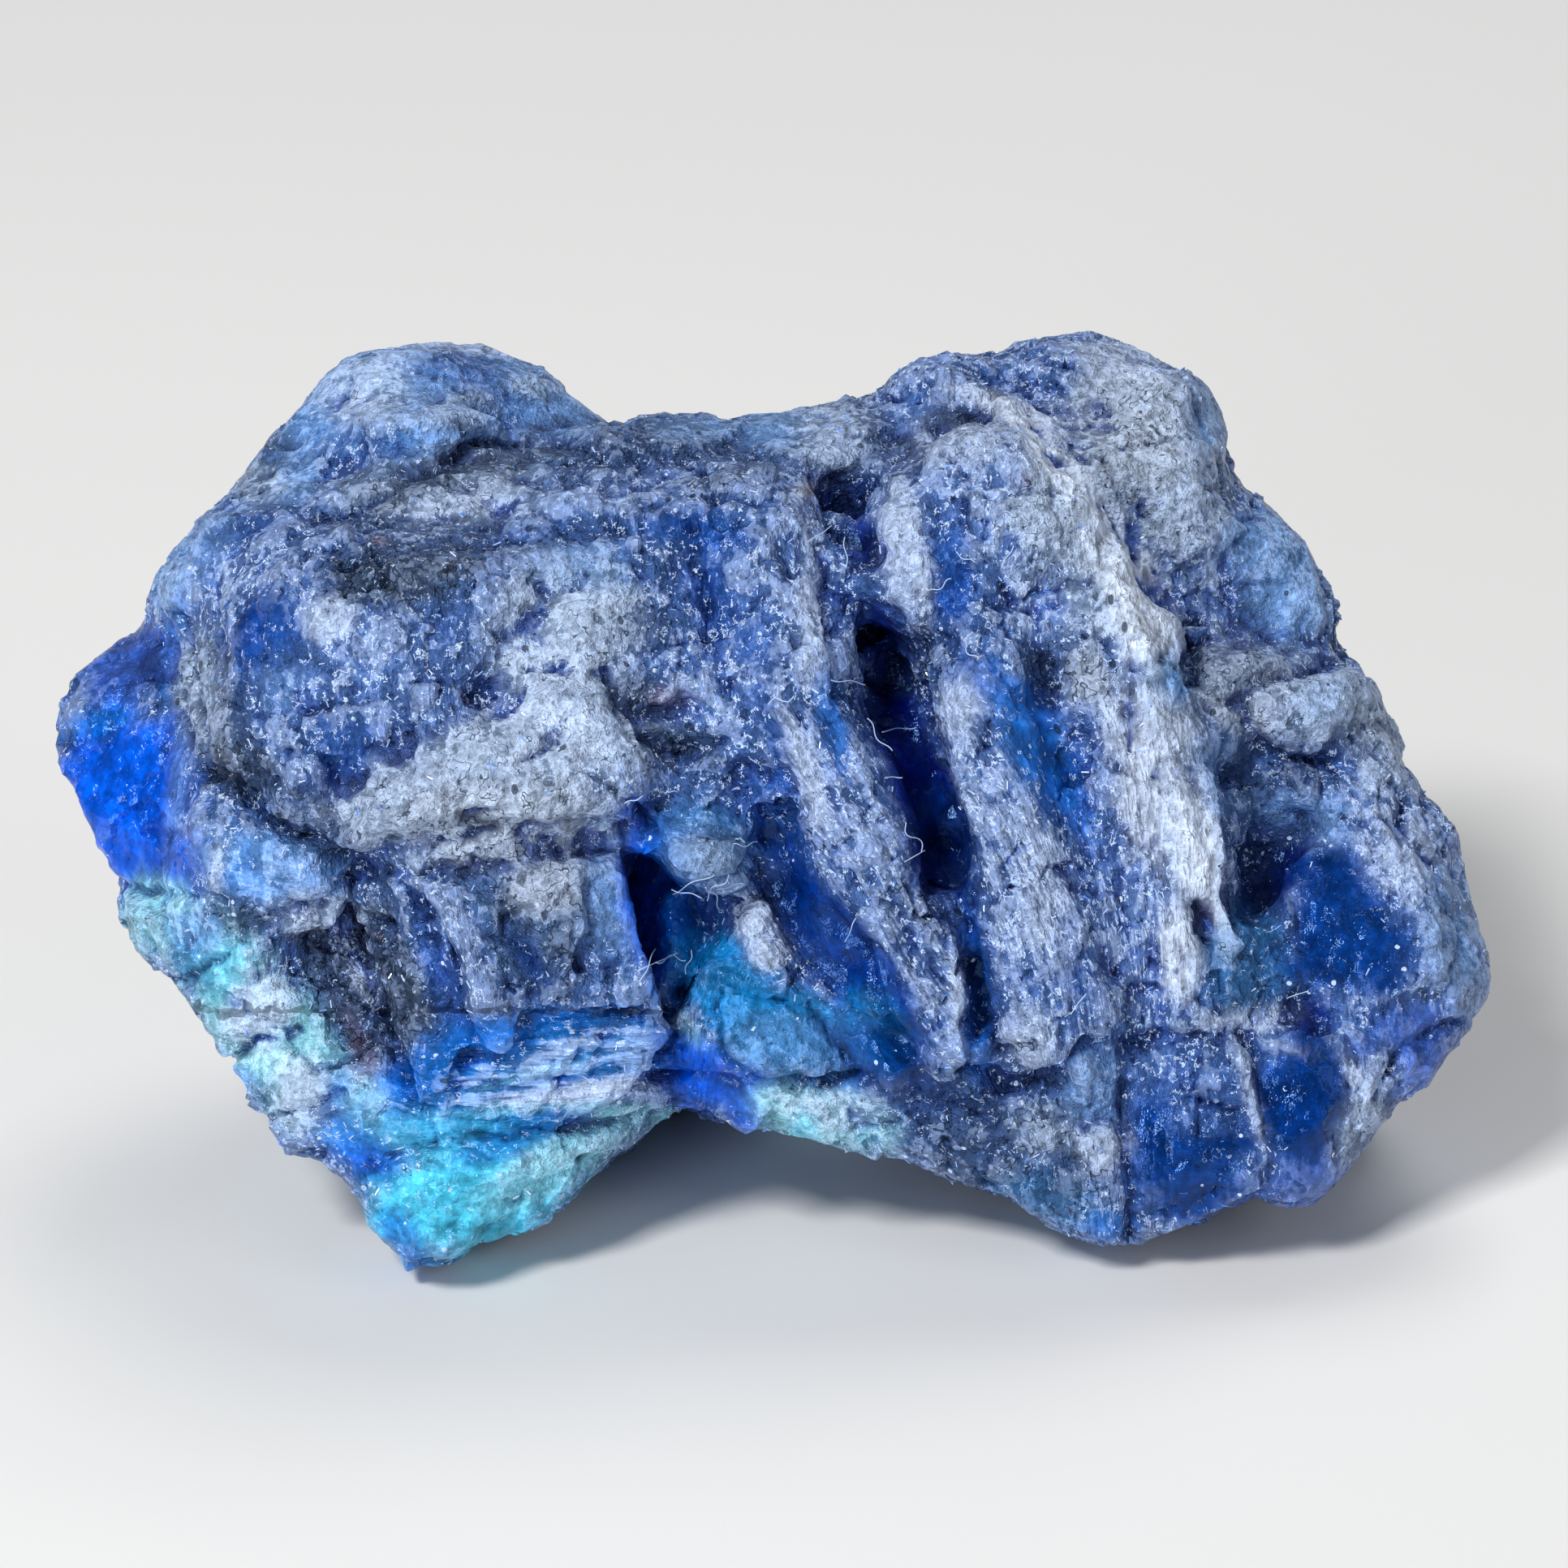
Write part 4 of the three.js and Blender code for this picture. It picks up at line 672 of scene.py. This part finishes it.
def tanzanite_material(settings):
    """Tanzanite, rough: blue-violet zoisite as it grew and broke. Hollows and clear faces are deep blue glass, and
    painted shade deepens the hollows further; the rest is frosted by fine breaks that scatter white and has painted
    white glints, with graphite flecks in the cracks."""
    material, tree = empty_material("tanzanite_rough_broken_and_grown")
    place = add(tree, "ShaderNodeTexCoord").outputs["Object"]
    tint = add(tree, "ShaderNodeAttribute", settings={"attribute_name": "tint"}).outputs["Color"]
    body, look, growth = [add(tree, "ShaderNodeAttribute", settings={"attribute_name": name}).outputs["Vector"]
                          for name in ("body", "look", "growth")]
    clear, frost, grime = add(tree, "split", body).outputs
    glitter, hollow, stria = add(tree, "split", look).outputs

    # Milky clouds about 1 mm wide, and breaks about 0.25 mm wide that are drawn out where the stone is striated.
    milk = add(tree, "noise", Vector=place, Scale=1 / MILK_SIZE, Detail=2.0, Roughness=0.6)
    chipped = add(tree, "noise", Vector=place, Scale=1 / BREAK_SIZE, Detail=3.0, Roughness=0.68)
    stretched = add(tree, "stretch", Vector=growth, Scale=(1.0, 1.0, 0.14))
    needles = add(tree, "noise", Vector=stretched, Scale=1 / NEEDLE_SIZE, Detail=2.0, Roughness=0.6)
    breaks = add(tree, "mix_value", add(tree, "times", stria, 0.8), chipped, needles)

    # Two sizes of broken grain: each grain has its own tone, partly random and partly painted light that makes some
    # faces look lit and others shaded, and turns the light its own way.
    grains = add(tree, "cells", Vector=place, Scale=1 / GRAIN_SIZE)
    flattened = add(tree, "stretch", Vector=growth, Scale=(1.0, 1.0, 0.6))
    flakes = add(tree, "cells", Vector=flattened, Scale=1 / FLAKE_SIZE)
    grain_pick = add(tree, "split_colour", grains.outputs["Color"]).outputs
    flake_pick = add(tree, "split_colour", flakes.outputs["Color"]).outputs
    flake_shade = add(tree, "steady", flake_pick[2], To_Min=0.78, To_Max=1.16)
    grain_shade = add(tree, "steady", grain_pick[1], To_Min=0.84, To_Max=1.14)
    faces = add(tree, "times", flake_shade, grain_shade)

    # Body colour drifts with the milk and the breaks, and painted shade deepens it in hollows, a multiply towards the
    # hollow blue.
    milk_shade = add(tree, "ramp", milk, 0.3, 0.7, 0.64, 1.22)
    break_shade = add(tree, "ramp", breaks, 0.3, 0.7, 0.60, 1.22)
    shade = add(tree, "times", add(tree, "times", milk_shade, break_shade), faces)
    drifted = add(tree, "scale", tint, shade)
    sunk = add(tree, "ramp", hollow, 0.0, 0.6, 0.0, 0.9)
    hollow_shade = add(tree, "times", sunk, add(tree, "held", frost, 1.0, 0.2))
    deep = add(tree, "multiply", hollow_shade, drifted, settings.hollow)

    # Frost lies where the stone stands out, most on frosted finishes; it is partly real frost and partly painted light
    # that whitens ridges and is kept out of hollows.
    raised = add(tree, "plus", milk, 0.6, breaks)
    for part, weight in ((frost, 0.42), (hollow, -0.5), (flake_pick[2], 0.26)):
        raised = add(tree, "plus", part, weight, raised)
    frost_lies = add(tree, "ramp", raised, 1.12, 1.29, 0.0, 0.9)
    frost_mask = add(tree, "times", frost_lies, add(tree, "held", frost, 1.7, -0.06))
    frost_shade = add(tree, "times", add(tree, "ramp", breaks, 0.3, 0.62, 0.54, 1.10), faces)
    frost_tone = add(tree, "scale", add(tree, "mix", 0.5, tint, settings.frost), frost_shade)
    frosted = add(tree, "mix", frost_mask, deep, frost_tone)

    # Painted glints: white painted on the rims of breaks in some grains and on single grains, standing in for fresh
    # faces that catch the light.
    off_rim = add(tree, "unsigned", add(tree, "plus", breaks, 1.0, -0.53))
    rim = add(tree, "below", off_rim, add(tree, "times", glitter, 0.020))
    bright_grain = add(tree, "above", grain_pick[2], add(tree, "plus", glitter, -0.46, 1.0))
    rim = add(tree, "times", rim, bright_grain)
    glint_grain = add(tree, "above", grain_pick[0], add(tree, "plus", glitter, -0.042, 1.0))
    glint_grain = add(tree, "times", glint_grain, add(tree, "below", grains, 0.44))
    glint_grain = add(tree, "times", glint_grain, add(tree, "above", breaks, 0.49))
    painted_glint = add(tree, "larger", rim, glint_grain)
    with_painted_glints = add(tree, "mix", add(tree, "times", painted_glint, 0.88), frosted, settings.painted_glint)

    # Graphite: curved threads along the cracks and scattered flecks.
    wander = add(tree, "noise", Vector=place, Scale=1 / THREAD_SIZE, Detail=2.0, Roughness=0.75)
    off_thread = add(tree, "unsigned", add(tree, "plus", wander, 1.0, -0.5))
    thread = add(tree, "below", off_thread, add(tree, "times", grime, 0.026))
    thread = add(tree, "times", thread, add(tree, "above", milk, 0.46))
    fleck = add(tree, "above", flake_pick[1], add(tree, "plus", grime, -0.24, 0.995))
    fleck = add(tree, "times", fleck, add(tree, "below", flakes, 0.24))
    dark = add(tree, "larger", thread, fleck)
    colour = add(tree, "mix", add(tree, "times", dark, 0.8), with_painted_glints, settings.graphite)

    # Clear where the finish says so, less under frost and none under graphite.
    covered = add(tree, "larger", add(tree, "larger", dark, painted_glint), frost_mask)
    transmission = add(tree, "times", clear, add(tree, "held", covered, -1.0, 1.0))
    gloss = add(tree, "ramp", frost_mask, 0.0, 0.7, 0.15, 0.5)
    gloss = add(tree, "plus", painted_glint, -0.06, gloss)

    # Relief finer than the mesh: grains that each turn the light their own way, and the breaks.
    turn = add(tree, "difference", grains.outputs["Color"], (0.5, 0.5, 0.5))
    turned = add(tree, "scale", turn, add(tree, "plus", glitter, 0.7, 0.03))
    facet = add(tree, "unit", add(tree, "sum", turned, add(tree, "ShaderNodeNewGeometry").outputs["Normal"]))
    height = add(tree, "times", breaks, add(tree, "ramp", frost, 0.0, 0.5, 0.35, 1.7))
    relief = add(tree, "ShaderNodeBump", Strength=0.9, Distance=RELIEF_HEIGHT, Height=height, Normal=facet)

    stone = add(tree, "surface", Base_Color=colour, Roughness=gloss, IOR=ZOISITE_IOR,
                Transmission_Weight=transmission, Normal=relief, Specular_Tint=settings.sheen)
    stone.inputs["Specular IOR Level"].default_value = 0.36
    depth = add(tree, "ShaderNodeVolumeAbsorption", settings.depth, ABSORPTION)
    add(tree, "material", Surface=stone, Volume=depth)
    return material


def floor_material(settings):
    """Painted board, sprayed matt: an even pale floor with no gloss."""
    material, tree = empty_material("painted_board_matt")
    paint = add(tree, "surface", Base_Color=settings.floor, Roughness=0.85)
    add(tree, "material", Surface=paint)
    return material


def tone(label, what, code):
    """A colour setting with a hex value as its default."""
    return bpy.props.FloatVectorProperty(name=label, description=what, subtype="COLOR", size=4, min=0.0, max=1.0,
                                         default=(*linear(code), 1.0))


def length(label, what, default, low, high):
    """A length setting, given in millimetres."""
    return bpy.props.FloatProperty(name=label, description=what, default=default * MM, min=low * MM, max=high * MM,
                                   unit="LENGTH", precision=5)


class TanzaniteSettings(bpy.types.PropertyGroup):
    """Sizes and colours of the stone's fine work."""
    voxel: length("Mesh step", "Step of the fine mesh that carries the relief", 0.17, 0.1, 0.6)
    most_triangles: bpy.props.IntProperty(name="Most triangles", description="Triangles that the stone may keep",
                                          default=190000, min=20000, max=198000)
    splinters: bpy.props.FloatProperty(name="Splinters per mm2", description="Splinters on each square millimetre",
                                       default=4.0, min=0.0, max=8.0)
    splinter_length: length("Splinter length", "Length of the longest splinters", 0.28, 0.1, 1.5)
    lint_width: length("Lint width", "Thickness of the threads of lint", 0.035, 0.01, 0.2)
    frost: tone("Frost", "Fine breaks that scatter white", "c4d4ee")
    # Painted glint: the white painted where grains and splinters would catch the light.
    painted_glint: tone("Glint", "Fresh faces of single grains", "cfe2ff")
    graphite: tone("Graphite", "Dark threads and flecks", "0e1017")
    # Painted shade: the blue that the material multiplies into hollows.
    hollow: tone("Hollow", "What hollows are multiplied with", "2a60c8")
    depth: tone("Depth", "What the clear stone lets through", "4f94ff")
    sheen: tone("Sheen", "Tint of the light that its faces throw back", "84b6ff")
    splinter: tone("Splinter", "Splinters that are less white", "5c98f0")
    lint: tone("Lint", "Cotton lint caught on the stone", "b9d2f2")
    floor: tone("Floor", "The stage's board", "ecebe8")


def new_object(name, data):
    """A new object in the scene."""
    made = bpy.data.objects.new(name, data)
    bpy.context.scene.collection.objects.link(made)
    return made


def plain_copy(thing):
    """The evaluated shape of an object as a plain mesh."""
    bpy.context.view_layer.update()
    graph = bpy.context.evaluated_depsgraph_get()
    return bpy.data.meshes.new_from_object(thing.evaluated_get(graph), depsgraph=graph)


def settle(thing):
    """Makes the evaluated shape of an object its plain mesh, and takes its modifiers off."""
    thing.data = plain_copy(thing)
    thing.modifiers.clear()


class TANZANITE_OT_stone(bpy.types.Operator):
    """Makes the stone: a fine copy of the solid with its valleys, ridges, broken grain and finish"""
    bl_idname = "object.tanzanite_stone"
    bl_label = "Stone"

    def execute(self, context):
        settings = context.scene.tanzanite_settings
        stone = new_object("tanzanite_stone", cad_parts[NODE].data.copy())
        stone.data.materials.clear()
        stone.modifiers.new("weld", "WELD").merge_threshold = WELD_MM * MM
        fine = stone.modifiers.new("fine", "REMESH")
        fine.mode = "VOXEL"
        fine.voxel_size = settings.voxel
        settle(stone)
        edges = mesh_edges(stone.data)
        points = evened(mesh_points(stone.data), edges, 2)
        set_points(stone.data, points)
        set_points(stone.data, carve(stone.data, points, edges))
        stone.data.calc_loop_triangles()
        thin = stone.modifiers.new("thin", "DECIMATE")
        thin.ratio = min(1.0, settings.most_triangles / len(stone.data.loop_triangles))
        settle(stone)
        stone.data.name = "tanzanite_stone"
        stone.data.shade_smooth()
        stone.data.set_sharp_from_angle(angle=math.radians(SHARP_DEGREES))
        put_fields(stone.data)
        stone.data.materials.append(tanzanite_material(settings))
        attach(stone, BODY)
        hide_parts(NODE)
        return {"FINISHED"}


def splinter_material(settings):
    """Zoisite splinters: clear blue needles broken off the crystals, with soft patches of painted glint white."""
    material, tree = empty_material("zoisite_splinters_clear")
    place = add(tree, "ShaderNodeTexCoord").outputs["Object"]
    cloudy = add(tree, "noise", Vector=place, Scale=1 / SPLINTER_CLOUD_SIZE, Detail=2.0)
    share = add(tree, "steady", cloudy, 0.35, 0.65)
    # Painted glints: soft noise mixes the splinters' blue towards the glint white.
    colour = add(tree, "mix", share, settings.splinter, settings.painted_glint)
    glass = add(tree, "surface", Base_Color=colour, Roughness=0.18, IOR=ZOISITE_IOR)
    add(tree, "material", Surface=glass)
    return material


def splinter_tree():
    """Geometry nodes that strew small four-sided prisms over a surface, denser where it glitters."""
    tree = bpy.data.node_groups.new("strewn_splinters", "GeometryNodeTree")
    sockets = {}
    for name, kind in (("Geometry", "Geometry"), ("Per square metre", "Float"), ("Length", "Float"), ("Seed", "Int"),
                       ("Material", "Material")):
        made = tree.interface.new_socket(name=name, in_out="INPUT", socket_type="NodeSocket" + kind)
        sockets[name] = made.identifier
    tree.interface.new_socket(name="Geometry", in_out="OUTPUT", socket_type="NodeSocketGeometry")
    given = add(tree, "NodeGroupInput").outputs
    look = add(tree, "GeometryNodeInputNamedAttribute", settings={"data_type": "FLOAT_VECTOR"}, Name="look").outputs[0]
    glitter = add(tree, "split", look).outputs[0]
    density = add(tree, "times", add(tree, "power", glitter, 2.0), given["Per square metre"])
    strewn = add(tree, "GeometryNodeDistributePointsOnFaces", settings={"distribute_method": "RANDOM"},
                 Mesh=given["Geometry"], Density=density, Seed=given["Seed"]).outputs
    prism = add(tree, "GeometryNodeMeshCube", Size=(0.14, 0.2, 1.0)).outputs["Mesh"]
    lie = add(tree, "FunctionNodeRandomValue", (1.1, -0.5, -3.2), (2.0, 0.5, 3.2),
              settings={"data_type": "FLOAT_VECTOR"}, Seed=given["Seed"])
    turned = add(tree, "FunctionNodeRotateRotation", strewn["Rotation"], lie, settings={"rotation_space": "LOCAL"})
    spread = add(tree, "FunctionNodeRandomValue", 0.25, 1.0, settings={"data_type": "FLOAT"}, Seed=given["Seed"])
    size = add(tree, "times", add(tree, "power", spread, 2.0), given["Length"])
    placed = add(tree, "GeometryNodeInstanceOnPoints", Points=strewn["Points"], Instance=prism, Rotation=turned,
                 Scale=size)
    real = add(tree, "GeometryNodeRealizeInstances", Geometry=placed)
    painted = add(tree, "GeometryNodeSetMaterial", Geometry=real, Material=given["Material"])
    add(tree, "NodeGroupOutput", painted)
    return tree, sockets


class TANZANITE_OT_splinters(bpy.types.Operator):
    """Strews small clear splinters over the stone's broken skin"""
    bl_idname = "object.tanzanite_splinters"
    bl_label = "Splinters"

    def execute(self, context):
        settings = context.scene.tanzanite_settings
        carrier = new_object("tanzanite_splinters", bpy.data.objects["tanzanite_stone"].data.copy())
        tree, sockets = splinter_tree()
        strew = carrier.modifiers.new("strew", "NODES")
        strew.node_group = tree
        strew[sockets["Per square metre"]] = settings.splinters * 1.0e6
        strew[sockets["Length"]] = settings.splinter_length
        strew[sockets["Seed"]] = SPLINTER_SEED
        strew[sockets["Material"]] = splinter_material(settings)
        settle(carrier)
        points = mesh_points(carrier.data)
        points[:, 2] = np.maximum(points[:, 2], 0.0)
        set_points(carrier.data, points)
        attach(carrier, BODY)
        return {"FINISHED"}


def lint_material(settings):
    """Cotton lint: single fibres, matt and pale."""
    material, tree = empty_material("cotton_lint")
    fibre = add(tree, "surface", Base_Color=settings.lint, Roughness=0.6)
    add(tree, "material", Surface=fibre)
    return material


class TANZANITE_OT_lint(bpy.types.Operator):
    """Lays thin curled threads of lint on the broad face"""
    bl_idname = "object.tanzanite_lint"
    bl_label = "Lint"

    def execute(self, context):
        settings = context.scene.tanzanite_settings
        column, row, towards = face_place(mesh_points(bpy.data.objects["tanzanite_stone"].data))
        curve = bpy.data.curves.new("tanzanite_lint", "CURVE")
        curve.dimensions = "3D"
        curve.bevel_depth = settings.lint_width / 2
        curve.bevel_resolution = 0
        curve.use_fill_caps = True
        for number, (x, y, length, direction) in enumerate(LINT):
            heading = math.radians(direction)
            curl = 0.5 * math.sin(number * 2.4) + 0.25
            stride = length / PIXEL_MM / LINT_STEPS
            place_x, place_y = x - 0.5 * length / PIXEL_MM * math.cos(heading), y
            trail = []
            for k in range(LINT_STEPS):
                near = (np.abs(column - place_x) < LINT_REACH) & (np.abs(row - place_y) < LINT_REACH)
                if not near.any():
                    raise RuntimeError(f"no stone under the lint at {x}, {y}")
                trail.append((place_x, place_y, towards[near].max() + LINT_LIFT_MM))
                place_x += stride * math.cos(heading)
                place_y -= stride * math.sin(heading)
                heading += 0.65 * curl * math.cos(k * 0.58 + number)
            trail = np.array(trail)
            for _ in range(6):
                trail[1:-1, 2] = (trail[:-2, 2] + trail[1:-1, 2] + trail[2:, 2]) / 3.0
            spline = curve.splines.new("POLY")
            spline.points.add(LINT_STEPS - 1)
            for point, spot in zip(spline.points, face_points(*trail.T)):
                point.co = (*(spot * MM), 1.0)
        carrier = new_object("lint_curve", curve)
        lint = new_object("tanzanite_lint", plain_copy(carrier))
        bpy.data.objects.remove(carrier)
        lint.data.materials.clear()
        lint.data.materials.append(lint_material(settings))
        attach(lint, BODY)
        return {"FINISHED"}


class TANZANITE_OT_stage(bpy.types.Operator):
    """Makes the pale floor, the soft lights and the camera"""
    bl_idname = "object.tanzanite_stage"
    bl_label = "Stage"

    def execute(self, context):
        scene = context.scene
        mesh = bpy.data.meshes.new("floor")
        corners = [(x * FLOOR_HALF, y * FLOOR_HALF, 0.0) for x, y in ((-1, -1), (1, -1), (1, 1), (-1, 1))]
        mesh.from_pydata(corners, [], [(0, 1, 2, 3)])
        mesh.materials.append(floor_material(scene.tanzanite_settings))
        floor = new_object("floor", mesh)

        aim = Vector(AIM_MM) * MM
        for name, place, side, power, colour in LIGHTS:
            light = bpy.data.lights.new(name, "AREA")
            light.size = side
            light.energy = power
            light.color = colour
            softbox = new_object(name, light)
            softbox.location = place
            softbox.rotation_euler = (Vector(place) - aim).to_track_quat("Z", "Y").to_euler()

        scene.world = bpy.data.worlds.new("studio")
        scene.world.use_nodes = True
        tree = scene.world.node_tree
        tree.nodes.clear()
        sky = add(tree, "ShaderNodeBackground", Color=SKY_COLOUR, Strength=SKY_STRENGTH)
        add(tree, "ShaderNodeOutputWorld", Surface=sky)
        scene.view_settings.view_transform = "Standard"

        lens = bpy.data.cameras.new("camera")
        lens.lens = LENS_MM
        lens.sensor_width = SENSOR_MM
        lens.clip_start = 0.01
        scene.camera = new_object("camera", lens)
        scene.camera.location = aim + Vector(TOWARDS_CAMERA) * VIEW_DISTANCE_MM * MM
        scene.camera.rotation_euler = (math.pi / 2 - VIEW_LEAN, 0.0, 0.0)
        return {"FINISHED"}


MAKERS = (TANZANITE_OT_stone, TANZANITE_OT_splinters, TANZANITE_OT_lint, TANZANITE_OT_stage)


class TANZANITE_PT_panel(bpy.types.Panel):
    """Lists the stone's makers and sizes"""
    bl_idname = "TANZANITE_PT_panel"
    bl_label = "Rough tanzanite"
    bl_space_type = "VIEW_3D"
    bl_region_type = "UI"
    bl_category = "Tanzanite"

    def draw(self, context):
        for name in TanzaniteSettings.__annotations__:
            self.layout.prop(context.scene.tanzanite_settings, name)
        for maker in MAKERS:
            self.layout.operator(maker.bl_idname)


CLASSES = (TanzaniteSettings, *MAKERS, TANZANITE_PT_panel)


def register():
    for made in CLASSES:
        bpy.utils.register_class(made)
    bpy.types.Scene.tanzanite_settings = bpy.props.PointerProperty(type=TanzaniteSettings)


def unregister():
    del bpy.types.Scene.tanzanite_settings
    for made in reversed(CLASSES):
        bpy.utils.unregister_class(made)


def main():
    register()
    bpy.ops.object.tanzanite_stage()
    bpy.ops.object.tanzanite_stone()
    bpy.ops.object.tanzanite_splinters()
    bpy.ops.object.tanzanite_lint()


if __name__ == "__main__":
    main()
